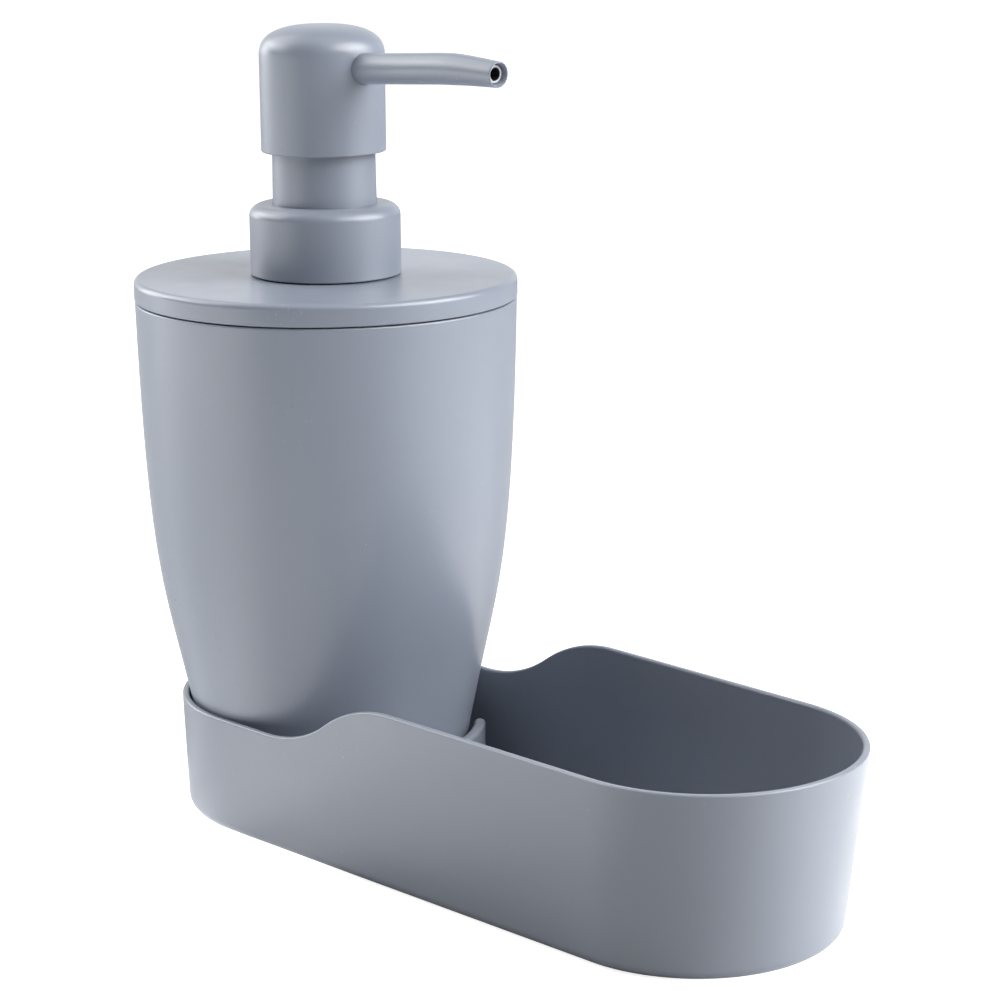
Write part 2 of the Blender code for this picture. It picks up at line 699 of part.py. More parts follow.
def build_collar_shell(material, parts):
    """The smooth outer cover of the closure."""
    height = collar_top_z - collar_foot_z
    bore = SLEEVE_FOOT_RADIUS + SEAT_GAP
    outer = collar_outline(0.0, 0.0, height)
    outer[-1] = (*outer[-1], COLLAR_LOWER_ROUND)
    inner = collar_outline(COLLAR_WALL, 0.0, height - COLLAR_TOP_WALL)[::-1]
    outline = rounded([(bore, height)] + outer + inner + [(bore, height - COLLAR_TOP_WALL)])
    return turned("collar_shell", outline, PUMP_STEPS, material, parts, collar_foot_z)


def build_collar_nut(material, parts):
    """The threaded insert inside the cover, which clamps the pump down on the neck."""
    foot_z = collar_foot_z + SEAT_GAP
    top = nut_top_z - foot_z
    bore = SLEEVE_FOOT_RADIUS + 2 * SEAT_GAP
    outline = rounded([
        (bore, top),
        (nut_radius, top, NUT_SHOULDER_ROUND),
        (nut_radius, 0.0),
        (nut_bore_radius, 0.0),
        (nut_bore_radius, top - NUT_TOP_WALL),
        (bore, top - NUT_TOP_WALL),
    ])
    return turned("collar_nut", outline, PUMP_STEPS, material, parts, foot_z)


def build_gasket(material, parts):
    outline = rounded([
        (NECK_RADIUS - NECK_WALL, GASKET_THICKNESS),
        (flange_radius, GASKET_THICKNESS),
        (flange_radius, 0.0),
        (NECK_RADIUS - NECK_WALL, 0.0),
    ])
    return turned("gasket", outline, INNER_STEPS, material, parts, gasket_z)


def build_neck_sleeve(material, parts):
    """The smooth tube that stands out of the closure and guides the head."""
    top = sleeve_top_z - sleeve_z
    bore = socket_radius + CORE_SOCKET_WALL + SLEEVE_BORE_CLEARANCE
    outline = rounded([
        (bore, top),
        (SLEEVE_TOP_RADIUS, top, SLEEVE_TOP_ROUND),
        (SLEEVE_FOOT_RADIUS, SLEEVE_FLANGE),
        (flange_radius, SLEEVE_FLANGE),
        (flange_radius, 0.0),
        (SLEEVE_FOOT_RADIUS - SLEEVE_WALL, 0.0),
        (SLEEVE_TOP_RADIUS - SLEEVE_WALL, top - SLEEVE_TOP_WALL),
        (bore, top - SLEEVE_TOP_WALL),
    ])
    return turned("neck_sleeve", outline, PUMP_STEPS, material, parts, sleeve_z)


# Pump

def build_chaplet(material, parts):
    """The plug that closes the housing's top, guides the stem and stops its shoulder."""
    bore = STEM_RADIUS + STEM_GUIDE_CLEARANCE
    plug_radius = HOUSING_BORE_RADIUS - SEAT_GAP
    depth = CHAPLET_DEPTH + SEAT_GAP
    sleeve_bore = SLEEVE_FOOT_RADIUS - SLEEVE_WALL
    outline = rounded([
        (bore, depth + CHAPLET_FLANGE + CHAPLET_GUIDE_HEIGHT),
        (bore + CHAPLET_GUIDE_WALL, depth + CHAPLET_FLANGE + CHAPLET_GUIDE_HEIGHT),
        (bore + CHAPLET_GUIDE_WALL, depth + CHAPLET_FLANGE),
        (sleeve_bore - SEAT_GAP, depth + CHAPLET_FLANGE),
        (sleeve_bore - SEAT_GAP, depth),
        (plug_radius, depth),
        (plug_radius, 0.0),
        (plug_radius - CHAPLET_SKIRT_WALL, 0.0),
        (plug_radius - CHAPLET_SKIRT_WALL, depth),
        (bore + CHAPLET_GUIDE_WALL, depth),
        (bore + CHAPLET_GUIDE_WALL, 0.0),
        (bore, 0.0),
    ])
    return turned("chaplet", outline, INNER_STEPS, material, parts, chaplet_foot_z)


def seat_heights():
    """Heights of the ball seat's cone, its lower edge and the end of the tube's socket."""
    reach = (BALL_RADIUS + SEAT_GAP) / math.sin(BALL_SEAT_ANGLE)
    slope = 1.0 / math.tan(BALL_SEAT_ANGLE)
    cone_top = ball_z - reach + CAGE_RADIUS * slope
    cone_foot = ball_z - reach + BALL_SEAT_RADIUS * slope
    return cone_top, cone_foot, cone_foot - BALL_SEAT_PLATE


def build_pump_housing(material, parts, tools):
    """The pump's cylinder, with the inlet valve's cage and the dip tube's socket below it."""
    cone_top, cone_foot, socket_top = seat_heights()
    foot_z = socket_top - TUBE_SOCKET_DEPTH
    socket_bore = TUBE_RADIUS + RUNNING_CLEARANCE
    outer = HOUSING_BORE_RADIUS + HOUSING_WALL
    tail = CAGE_RADIUS + CAGE_WALL
    heights = [
        (HOUSING_BORE_RADIUS, housing_top_z),
        (flange_radius, housing_top_z),
        (flange_radius, housing_flange_z),
        (outer, housing_flange_z),
        (outer, spring_ledge_z),
        (tail, spring_ledge_z - (outer - tail)),
        (tail, foot_z),
        (socket_bore, foot_z),
        (socket_bore, socket_top),
        (BALL_SEAT_RADIUS, socket_top),
        (BALL_SEAT_RADIUS, cone_foot),
        (CAGE_RADIUS, cone_top),
        (CAGE_RADIUS, spring_ledge_z - CAGE_LIP_HEIGHT),
        (CAGE_LIP_RADIUS, spring_ledge_z - CAGE_LIP_HEIGHT),
        (CAGE_LIP_RADIUS, spring_ledge_z),
        (HOUSING_BORE_RADIUS, spring_ledge_z),
    ]
    outline = rounded([(radius, height - foot_z) for radius, height in heights])
    housing = turned("pump_housing", outline, INNER_STEPS, material, parts, foot_z)
    vent_z = housing_flange_z - VENT_DEPTH
    vent_start = (0.0, (plug_inner_radius() + HOUSING_BORE_RADIUS) / 2, vent_z)
    vent_end = (0.0, outer + CUT_OVERRUN, vent_z)
    combine(housing, cylinder_tool("vent", VENT_RADIUS, vent_start, vent_end, tools, 8), "DIFFERENCE")
    return housing


def plug_inner_radius():
    """Inner radius of the chaplet's skirt, where the air vent's cut starts."""
    return HOUSING_BORE_RADIUS - SEAT_GAP - CHAPLET_SKIRT_WALL


def build_dip_tube(material, parts, tools):
    """The tube from the housing down to the cup's floor, with its end cut on a slant."""
    top_z = seat_heights()[2] - SEAT_GAP
    foot_z = cup_base_z + CUP_FOOT_RECESS + CUP_FLOOR + TUBE_FLOOR_GAP
    length = top_z - foot_z
    outline = [
        (TUBE_RADIUS - TUBE_WALL, length),
        (TUBE_RADIUS, length),
        (TUBE_RADIUS, 0.0),
        (TUBE_RADIUS - TUBE_WALL, 0.0),
    ]
    tube = turned("dip_tube", outline, TUBE_STEPS, material, parts, foot_z)
    shell = bmesh.new()
    shell.from_mesh(tube.data)
    slant = bmesh.ops.bisect_plane(
        shell,
        geom=shell.verts[:] + shell.edges[:] + shell.faces[:],
        plane_co=(-TUBE_RADIUS, 0.0, 0.0),
        plane_no=(math.sin(TUBE_CUT_ANGLE), 0.0, -math.cos(TUBE_CUT_ANGLE)),
        clear_outer=True,
    )
    rim = [item for item in slant["geom_cut"] if isinstance(item, bmesh.types.BMEdge)]
    bmesh.ops.bridge_loops(shell, edges=rim)
    bmesh.ops.recalc_face_normals(shell, faces=shell.faces)
    shell.to_mesh(tube.data)
    shell.free()
    return tube


def build_inlet_ball(material, parts):
    bpy.ops.mesh.primitive_uv_sphere_add(segments=TUBE_STEPS, ring_count=8, radius=BALL_RADIUS)
    ball = bpy.context.object
    mesh = ball.data
    mesh.shade_smooth()
    bpy.data.objects.remove(ball, do_unlink=True)
    return add_piece("inlet_ball", mesh, material, parts, ball_z)


def build_spring(material, parts):
    """The return spring: one wire, with a closer curl at each end."""
    height = SPRING_LENGTH - 2 * SPRING_WIRE_RADIUS
    closed_pitch = 3 * SPRING_WIRE_RADIUS
    open_pitch = (height - 2 * closed_pitch) / (SPRING_CURLS - 2)
    points = []
    for index in range(SPRING_CURLS * SPRING_CURL_POINTS + 1):
        turns = index / SPRING_CURL_POINTS
        start = min(turns, 1.0)
        middle = min(max(turns - 1.0, 0.0), SPRING_CURLS - 2)
        end = max(turns - (SPRING_CURLS - 1), 0.0)
        rise = closed_pitch * (start + end) + open_pitch * middle
        angle = 2 * math.pi * turns
        x = SPRING_MEAN_RADIUS * math.cos(angle)
        y = SPRING_MEAN_RADIUS * math.sin(angle)
        points.append((x, y, SPRING_WIRE_RADIUS + rise))
    print("spring: least gap between curls, mm:", round(least_gap(points) / MM, 2))
    curve = bpy.data.curves.new("spring", "CURVE")
    curve.dimensions = "3D"
    curve.bevel_depth = SPRING_WIRE_RADIUS
    curve.bevel_resolution = 1
    curve.use_fill_caps = True
    wire = curve.splines.new("POLY")
    wire.points.add(len(points) - 1)
    for spot, point in zip(wire.points, points):
        spot.co = (*point, 1.0)
    coil = bpy.data.objects.new("spring_curve", curve)
    parts.objects.link(coil)
    mesh = bake(coil)
    bpy.data.objects.remove(coil, do_unlink=True)
    return add_piece("spring", mesh, material, parts, spring_top_z - SPRING_LENGTH)


def least_gap(points):
    """The smallest space between one curl's wire and the next, measured on the wire's points."""
    places = np.array(points)
    apart = np.linalg.norm(places[:, None] - places[None], axis=2)
    rows, columns = np.indices(apart.shape)
    other_curl = columns - rows >= SPRING_CURL_POINTS // 2
    return float(apart[other_curl].min()) - 2 * SPRING_WIRE_RADIUS


def build_stem(material, parts, tools):
    """The hollow stem that carries the soap up, with a shoulder and two side ports."""
    foot_z = valve_top_z + SEAT_GAP
    top = core_socket_top() - SEAT_GAP - foot_z
    shoulder = stem_shoulder_z - foot_z
    outline = rounded([
        (STEM_BORE_RADIUS, top),
        (STEM_RADIUS, top),
        (STEM_RADIUS, shoulder + STEM_SHOULDER_HEIGHT),
        (STEM_SHOULDER_RADIUS, shoulder + STEM_SHOULDER_HEIGHT),
        (STEM_SHOULDER_RADIUS, shoulder),
        (STEM_RADIUS, shoulder),
        (STEM_RADIUS, 0.0),
        (STEM_BORE_RADIUS, 0.0),
    ])
    stem = turned("stem", outline, INNER_STEPS, material, parts, foot_z)
    port_z = foot_z + STEM_PORT_RISE
    reach = STEM_RADIUS + CUT_OVERRUN
    port = cylinder_tool("stem_port", STEM_PORT_RADIUS, (0.0, -reach, port_z), (0.0, reach, port_z), tools, 8)
    combine(stem, port, "DIFFERENCE")
    return stem


def build_piston(material, parts):
    """A hub that slides on the stem and a skirt with a wiping lip at each end. The hub's
    foot is wider inside: soap that passes under it reaches the stem's ports through there."""
    hub_bore = STEM_RADIUS + RUNNING_CLEARANCE
    hub_radius = hub_bore + PISTON_HUB_WALL
    lip_radius = HOUSING_BORE_RADIUS - RUNNING_CLEARANCE
    skirt_radius = lip_radius - PISTON_LIP_FLARE
    skirt_inner = skirt_radius - PISTON_SKIRT_WALL
    middle = PISTON_HUB_HEIGHT / 2
    skirt_top = middle + PISTON_SKIRT_HEIGHT / 2
    skirt_foot = middle - PISTON_SKIRT_HEIGHT / 2
    web_top = middle + PISTON_WEB / 2
    web_foot = middle - PISTON_WEB / 2
    outline = rounded([
        (hub_bore, PISTON_HUB_HEIGHT),
        (hub_radius, PISTON_HUB_HEIGHT),
        (hub_radius, web_top),
        (skirt_inner, web_top),
        (lip_radius - PISTON_LIP_FLARE, skirt_top),
        (lip_radius, skirt_top),
        (skirt_radius, skirt_top - PISTON_LIP_HEIGHT),
        (skirt_radius, skirt_foot + PISTON_LIP_HEIGHT),
        (lip_radius, skirt_foot),
        (lip_radius - PISTON_LIP_FLARE, skirt_foot),
        (skirt_inner, web_foot),
        (hub_radius, web_foot),
        (hub_radius, 0.0),
        (hub_bore + PISTON_CHAMBER_DEPTH, 0.0),
        (hub_bore + PISTON_CHAMBER_DEPTH, PISTON_CHAMBER_HEIGHT),
        (hub_bore, PISTON_CHAMBER_HEIGHT),
    ])
    return turned("piston", outline, INNER_STEPS, material, parts, piston_z)


def build_stem_valve(material, parts):
    """The plug in the stem's foot: the piston seals on its flange and the spring pushes it up."""
    stub_radius = STEM_BORE_RADIUS - RUNNING_CLEARANCE
    pilot_radius = SPRING_MEAN_RADIUS - SPRING_WIRE_RADIUS - SEAT_GAP
    outline = rounded([
        (0.0, VALVE_FLANGE + VALVE_STUB_HEIGHT),
        (stub_radius, VALVE_FLANGE + VALVE_STUB_HEIGHT),
        (stub_radius, VALVE_FLANGE),
        (VALVE_FLANGE_RADIUS, VALVE_FLANGE),
        (VALVE_FLANGE_RADIUS, 0.0),
        (pilot_radius, 0.0),
        (pilot_radius, -VALVE_STUB_HEIGHT),
        (0.0, -VALVE_STUB_HEIGHT),
    ], closed=False)
    base_z = valve_top_z - VALVE_FLANGE
    return turned("stem_valve", outline, INNER_STEPS, material, parts, base_z, closed=False)


# Head

def core_socket_top():
    """Height of the end of the stem's socket in the core."""
    return core_flange_z + CORE_FLANGE


def spout_direction(angle):
    return np.array([math.cos(angle), 0.0, math.sin(angle)])


def spout_run():
    """Length of the spout's straight run from its bend to its tip."""
    bend_x = SPOUT_BEND_REACH * math.cos(SPOUT_CLIMB_ANGLE)
    return (SPOUT_REACH - bend_x) / math.cos(SPOUT_DROP_ANGLE)


def spout_points():
    """The spout's centre line as (point, radius): a slight climb out of the head, a soft
    bend, and a straight run down to the tip."""
    root_x = head_bore_radius - SPOUT_PLUG_DEPTH + BONDED_GAP
    climb = spout_direction(SPOUT_CLIMB_ANGLE)
    drop = spout_direction(-SPOUT_DROP_ANGLE)
    bend = np.array([0.0, 0.0, spout_z]) + climb * SPOUT_BEND_REACH
    root = bend + climb * (root_x - bend[0]) / climb[0]
    tip = bend + drop * spout_run()
    bend_round = spout_run() * SPOUT_BEND_ROUND_SHARE
    before = bend - climb * bend_round
    after = bend + drop * bend_round
    centres = [root]
    for step in range(2 * ROUND_STEPS + 1):
        t = step / (2 * ROUND_STEPS)
        centres.append(before * (1.0 - t) ** 2 + 2 * bend * t * (1.0 - t) + after * t**2)
    centres.append(tip)
    tapered = []
    for centre in centres:
        share = max((centre[0] - bend[0]) / (tip[0] - bend[0]), 0.0)
        tapered.append((centre, SPOUT_ROOT_RADIUS + (SPOUT_TIP_RADIUS - SPOUT_ROOT_RADIUS) * share))
    return tapered


def swept_mesh(name, path, collection):
    """A round bar along a path of (point, radius), with closed ends."""
    curve = bpy.data.curves.new(name, "CURVE")
    curve.dimensions = "3D"
    curve.bevel_depth = MM
    curve.bevel_resolution = 6
    curve.use_fill_caps = True
    line = curve.splines.new("POLY")
    line.points.add(len(path) - 1)
    for spot, (centre, radius) in zip(line.points, path):
        spot.co = (*centre, 1.0)
        spot.radius = radius / MM
    bar = bpy.data.objects.new(name + "_curve", curve)
    collection.objects.link(bar)
    mesh = bake(bar)
    bpy.data.objects.remove(bar, do_unlink=True)
    return mesh


def build_spout(material, parts, tools):
    """The curved outer tube, bored through, with a countersunk mouth."""
    path = spout_points()
    spout = add_piece("spout", swept_mesh("spout", path, parts), material, parts)
    centres = [centre for centre, radius in path]
    out = (centres[-1] - centres[-2]) / np.linalg.norm(centres[-1] - centres[-2])
    back = (centres[0] - centres[1]) / np.linalg.norm(centres[0] - centres[1])
    widening = (SPOUT_MOUTH_RADIUS - SPOUT_BORE_RADIUS) / SPOUT_MOUTH_DEPTH
    bore = [centres[0] + back * CUT_OVERRUN] + centres[1:-1] + [centres[-1] - out * SPOUT_MOUTH_DEPTH]
    bore_path = [(centre, SPOUT_BORE_RADIUS) for centre in bore]
    bore_path.append((centres[-1] + out * CUT_OVERRUN, SPOUT_MOUTH_RADIUS + widening * CUT_OVERRUN))
    bore_tool = add_piece("spout_bore", swept_mesh("spout_bore", bore_path, tools), None, tools)
    combine(spout, make_tool(bore_tool), "DIFFERENCE")
    return spout


def build_spout_liner(material, parts):
    """The pale nozzle tube set back in the spout's tip. It is straight, so it starts a little
    past the bend."""
    length = spout_run() - SPOUT_MOUTH_DEPTH - LINER_BEND_GAP
    centres = [centre for centre, radius in spout_points()]
    out = (centres[-1] - centres[-2]) / np.linalg.norm(centres[-1] - centres[-2])
    outline = rounded([
        (LINER_BORE_RADIUS, length),
        (SPOUT_BORE_RADIUS - LINER_CLEARANCE, length),
        (SPOUT_BORE_RADIUS - LINER_CLEARANCE, 0.0),
        (LINER_BORE_RADIUS, 0.0),
    ])
    liner = turned("spout_liner", outline, TUBE_STEPS, material, parts)
    liner.location = centres[-1] - out * (SPOUT_MOUTH_DEPTH + length)
    liner.rotation_mode = "QUATERNION"
    liner.rotation_quaternion = direction_turn(out)
    return liner


def build_head_shell(material, parts, tools):
    """The push button's cover: an upright side under a soft dome."""
    outline = [(0.0, HEAD_HEIGHT)]
    dome_z = HEAD_HEIGHT - HEAD_DOME_HEIGHT
    for step in range(1, DOME_STEPS + 1):
        angle = math.pi / 2 * step / DOME_STEPS
        power = 2.0 / HEAD_DOME_EXPONENT
        radius = HEAD_RADIUS * math.sin(angle) ** power
        height = dome_z + HEAD_DOME_HEIGHT * max(math.cos(angle), 0.0) ** power
        outline.append((radius, height))
    foot = rounded([
        (HEAD_RADIUS, dome_z),
        (HEAD_RADIUS, 0.0, HEAD_LOWER_ROUND),
        (head_bore_radius, 0.0, HEAD_LOWER_ROUND),
        (head_bore_radius, dome_z),
    ], closed=False)
    outline += foot[1:-1]
    inner_dome = HEAD_DOME_HEIGHT - HEAD_TOP_WALL
    inner_steps = DOME_STEPS - ROUND_STEPS
    for step in range(inner_steps, -1, -1):
        angle = math.pi / 2 * step / inner_steps
        power = 2.0 / HEAD_DOME_EXPONENT
        radius = head_bore_radius * math.sin(angle) ** power
        height = dome_z + inner_dome * max(math.cos(angle), 0.0) ** power
        outline.append((radius, height))
    shell = turned("head_shell", outline, PUMP_STEPS, material, parts, head_z, closed=False)
    climb = spout_direction(SPOUT_CLIMB_ANGLE)
    base = np.array([0.0, 0.0, spout_z])
    start = base + climb * (head_bore_radius - CORE_BOSS_RADIUS)
    end = base + climb * (HEAD_RADIUS + CUT_OVERRUN)
    hole = cylinder_tool("spout_hole", SPOUT_ROOT_RADIUS + RUNNING_CLEARANCE, start, end, tools)
    combine(shell, hole, "DIFFERENCE")
    return shell


def build_actuator_core(material, parts, tools):
    """The moulding inside the head: it grips the stem and leads the soap to the spout."""
    socket_outer = socket_radius + CORE_SOCKET_WALL
    foot_z = core_flange_z - CORE_SOCKET_DEPTH
    block_top = spout_z + CORE_BLOCK_RISE
    outline = rounded([
        (0.0, block_top),
        (CORE_BLOCK_RADIUS, block_top),
        (CORE_BLOCK_RADIUS, core_flange_z + CORE_FLANGE),
        (head_bore_radius - BONDED_GAP, core_flange_z + CORE_FLANGE),
        (head_bore_radius - BONDED_GAP, core_flange_z),
        (socket_outer, core_flange_z),
        (socket_outer, foot_z),
        (socket_radius, foot_z),
        (socket_radius, core_socket_top()),
        (0.0, core_socket_top()),
    ], closed=False)
    level = [(radius, height - foot_z) for radius, height in outline]
    core = turned("actuator_core", level, INNER_STEPS, material, parts, foot_z, closed=False)
    climb = spout_direction(SPOUT_CLIMB_ANGLE)
    base = np.array([0.0, 0.0, spout_z])
    boss_reach = math.sqrt((head_bore_radius - BONDED_GAP) ** 2 - CORE_BOSS_RADIUS**2)
    boss_end = base + climb * boss_reach
    boss_start = base + climb * socket_outer
    boss = cylinder_tool("core_boss", CORE_BOSS_RADIUS, boss_start, boss_end, tools)
    combine(core, boss, "UNION")
    plug_start = spout_points()[0][0] - climb * SEAT_GAP
    plug_end = boss_end + climb * CUT_OVERRUN
    plug_bore_radius = SPOUT_ROOT_RADIUS + RUNNING_CLEARANCE
    combine(core, cylinder_tool("core_plug_bore", plug_bore_radius, plug_start, plug_end, tools), "DIFFERENCE")
    rise_end = base + np.array([0.0, 0.0, STEM_BORE_RADIUS])
    rise_start = np.array([0.0, 0.0, core_socket_top() - CUT_OVERRUN])
    riser = cylinder_tool("core_riser", STEM_BORE_RADIUS, rise_start, rise_end, tools, TUBE_STEPS)
    combine(core, riser, "DIFFERENCE")
    channel_end = plug_start + climb * CUT_OVERRUN
    channel_radius = SPOUT_BORE_RADIUS - RUNNING_CLEARANCE
    channel = cylinder_tool("core_channel", channel_radius, base, channel_end, tools, TUBE_STEPS)
    combine(core, channel, "DIFFERENCE")
    return core


def build_materials():
    plastic = (0.36, 0.38, 0.42)
    natural = (0.80, 0.81, 0.80)
    return {
        "caddy": new_material("caddy_plastic", plastic, 0.5),
        "cup": new_material("cup_plastic", plastic, 0.48),
        "lid": new_material("lid_plastic", plastic, 0.48),
        "closure": new_material("closure_plastic", plastic, 0.42),
        "head": new_material("head_plastic", plastic, 0.42),
        "natural": new_material("natural_plastic", natural, 0.4),
        "piston": new_material("piston_plastic", (0.62, 0.66, 0.70), 0.45),
        "tube": new_material("tube_plastic", (0.85, 0.87, 0.87), 0.3, alpha=0.6),
        "rubber": new_material("seal_rubber", (0.75, 0.76, 0.76), 0.6),
        "steel": new_material("spring_steel", (0.62, 0.62, 0.61), 0.28, metallic=1.0),
    }


def build_part():
    clear_scene()
    parts = new_collection("soap_dispenser")
    tools = new_collection("cutters")
    looks = build_materials()

    caddy = build_caddy(looks["caddy"], parts, tools)

    cup = build_cup(looks["cup"], parts)

    lid = build_lid(looks["lid"], parts)
    lid_seal = build_lid_seal(looks["rubber"], parts)

    collar_shell = build_collar_shell(looks["closure"], parts)
    collar_nut = build_collar_nut(looks["natural"], parts)

    gasket = build_gasket(looks["rubber"], parts)
    neck_sleeve = build_neck_sleeve(looks["closure"], parts)
    chaplet = build_chaplet(looks["natural"], parts)
    housing = build_pump_housing(looks["natural"], parts, tools)
    dip_tube = build_dip_tube(looks["tube"], parts, tools)
    ball = build_inlet_ball(looks["steel"], parts)

    spring = build_spring(looks["steel"], parts)
    piston = build_piston(looks["piston"], parts)
    stem = build_stem(looks["natural"], parts, tools)
    stem_valve = build_stem_valve(looks["natural"], parts)
    core = build_actuator_core(looks["natural"], parts, tools)
    head_shell = build_head_shell(looks["head"], parts, tools)
    spout = build_spout(looks["head"], parts, tools)
    liner = build_spout_liner(looks["natural"], parts)

    cup_slide = joint_empty("cup_slide", cup_base_z, parts)
    lid_slide = joint_empty("lid_slide", lid_seam_z, parts)
    pump_screw = joint_empty("pump_screw", lid_top_z, parts)
    collar_turn = joint_empty("collar_turn", collar_foot_z, parts)
    head_turn = joint_empty("head_turn", sleeve_top_z, parts)
    head_press = joint_empty("head_press", head_z, parts)
    ball_lift = joint_empty("ball_lift", ball_z, parts)
    piston_slide = joint_empty("piston_slide", piston_z, parts)

    carry(ball_lift, [ball])
    carry(piston_slide, [piston])
    carry(head_press, [stem, stem_valve, core, head_shell, spout, liner, piston_slide])
    carry(head_turn, [spring, head_press])
    carry(collar_turn, [collar_shell, collar_nut])
    carry(pump_screw, [gasket, neck_sleeve, chaplet, housing, dip_tube, ball_lift, collar_turn, head_turn])
    carry(lid_slide, [lid, lid_seal, pump_screw])
    carry(cup_slide, [cup, lid_slide])
    carry(caddy, [cup_slide])


build_part()
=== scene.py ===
# %% [markdown]
# # A soap dispenser in its caddy
# The object is a flared cup with a flat lid and a lotion pump. It stands in an oblong caddy that
# has a second compartment for a sponge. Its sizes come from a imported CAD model, which is loaded
# first and never moved. This lesson builds a finer piece over each of its parts, in millimetres
# read as metres, and gives every part a material.

from math import asin, atan2, copysign, cos, pi, radians, sin, sqrt, tan, tau

import bmesh
import bpy
from mathutils import Color, Matrix, Vector
from mathutils.geometry import interpolate_bezier


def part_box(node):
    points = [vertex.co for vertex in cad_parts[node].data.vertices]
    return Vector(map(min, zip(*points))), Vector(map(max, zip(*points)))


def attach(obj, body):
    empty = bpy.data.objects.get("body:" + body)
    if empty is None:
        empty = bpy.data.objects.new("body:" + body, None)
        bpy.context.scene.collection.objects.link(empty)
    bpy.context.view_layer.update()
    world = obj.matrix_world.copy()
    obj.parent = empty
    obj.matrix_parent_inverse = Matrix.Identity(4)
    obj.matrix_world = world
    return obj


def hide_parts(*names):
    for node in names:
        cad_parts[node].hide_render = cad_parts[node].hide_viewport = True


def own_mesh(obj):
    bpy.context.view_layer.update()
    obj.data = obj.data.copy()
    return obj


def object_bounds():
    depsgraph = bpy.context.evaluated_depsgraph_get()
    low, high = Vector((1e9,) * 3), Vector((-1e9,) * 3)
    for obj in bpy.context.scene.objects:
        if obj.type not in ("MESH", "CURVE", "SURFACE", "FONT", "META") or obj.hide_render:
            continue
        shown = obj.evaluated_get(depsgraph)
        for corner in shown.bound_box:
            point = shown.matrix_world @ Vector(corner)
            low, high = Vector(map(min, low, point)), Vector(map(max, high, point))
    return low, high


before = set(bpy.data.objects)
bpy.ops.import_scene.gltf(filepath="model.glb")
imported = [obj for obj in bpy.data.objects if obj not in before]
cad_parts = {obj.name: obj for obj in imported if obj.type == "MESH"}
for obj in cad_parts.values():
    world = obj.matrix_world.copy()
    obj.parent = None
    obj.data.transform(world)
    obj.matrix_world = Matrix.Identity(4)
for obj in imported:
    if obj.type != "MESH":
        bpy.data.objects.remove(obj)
cad_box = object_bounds()
scene = bpy.context.scene
MM = 0.001
cad_sides = [round(side / MM, 1) for side in cad_box[1] - cad_box[0]]
print("nodes:", len(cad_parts), "box, mm:", cad_sides)

# %% [markdown]
# ## The camera
# The photograph was taken from a little above the lid, from the front right corner, with a long
# lens. The place and the two directions below were fitted to the outlines in it, so the render
# and the photograph can be laid over each other.

# %% Set up the camera
CAMERA_PLACE = Vector((0.47280, -0.41365, 0.22496))
CAMERA_FORWARD = Vector((-0.68946, 0.68480, -0.23600))
CAMERA_RIGHT = Vector((0.70553, 0.70867, -0.00485))
CAMERA_LENS = 99.03
SENSOR_WIDTH = 36.0

camera = bpy.data.objects.new("camera", bpy.data.cameras.new("camera"))
camera.data.lens = CAMERA_LENS
camera.data.sensor_width = SENSOR_WIDTH
camera_up = CAMERA_RIGHT.cross(CAMERA_FORWARD)
turn = Matrix((CAMERA_RIGHT, camera_up, -CAMERA_FORWARD)).transposed().to_4x4()
camera.matrix_world = Matrix.Translation(CAMERA_PLACE) @ turn
scene.collection.objects.link(camera)
scene.camera = camera
print("camera height, mm:", round(CAMERA_PLACE.z / MM))

# %% [markdown]
# ## Helpers for colours and nodes
# Colours are picked as sRGB hex values, but shaders work on linear light, so one function turns
# one into the other. The next adds a node, and the short ones after it hand back what the
# commonest nodes put out.

# %% Colour and node helpers
WHITE = "#FFFFFF"


def linear(code):
    """Linear RGBA for an sRGB hex colour."""
    channels = [int(code[start:start + 2], 16) / 255 for start in (1, 3, 5)]
    return (*Color(channels).from_srgb_to_scene_linear(), 1.0)


def add_node(tree, kind, links=None, out=0, **settings):
    """Add a node and hand back one output. Links holds a value or an output for each input."""
    made = tree.nodes.new("ShaderNode" + kind)
    for setting, value in settings.items():
        setattr(made, setting, value)
    for socket, value in (links or {}).items():
        if isinstance(value, bpy.types.NodeSocket):
            tree.links.new(value, made.inputs[socket])
        else:
            made.inputs[socket].default_value = value
    return made.outputs[out] if made.outputs else None


def maths(tree, operation, first, second):
    """What two numbers come to."""
    return add_node(tree, "Math", {0: first, 1: second}, operation=operation)


def measured(tree, operation, first, second=(0.0, 0.0, 0.0)):
    """A number that is measured on one or two vectors."""
    return add_node(tree, "VectorMath", {0: first, 1: second}, "Value", operation=operation)


def ranged(tree, value, low, high, to_low=0.0, to_high=1.0, ease="LINEAR"):
    """A number that is carried from one range to another."""
    return add_node(tree, "MapRange", {
        "Value": value, "From Min": low, "From Max": high, "To Min": to_low, "To Max": to_high},
        interpolation_type=ease)


def noise(tree, place, size, detail, roughness):
    """Clouds of this size, in metres, with this many octaves of finer ones in them."""
    return add_node(tree, "TexNoise", {
        "Vector": place, "Scale": 1 / size, "Detail": detail, "Roughness": roughness})


def blend(tree, share, first, second):
    """A mix of two colours. Each is a hex value or an output."""
    pair = [linear(item) if isinstance(item, str) else item for item in (first, second)]
    return add_node(tree, "Mix", {0: share, 6: pair[0], 7: pair[1]}, 2, data_type="RGBA")


print("mid grey in linear light:", round(linear("#808080")[0], 3))

# %% [markdown]
# ## Light, floor and background
# The photograph shows a product on pure white. Soft lights stand on both sides of it, so its
# flanks are bright and its middle is darker. The backdrop behind it is bright too, which the
# lid's top mirrors. Hardly any light comes from the camera's side, so the inside of the caddy
# stays dark.
#
# The world is that backdrop: bright round the direction behind the object and dark elsewhere.
# The camera and clear plastic see plain white instead, which the Light Path node picks out, so
# the background is white without more light on the object.

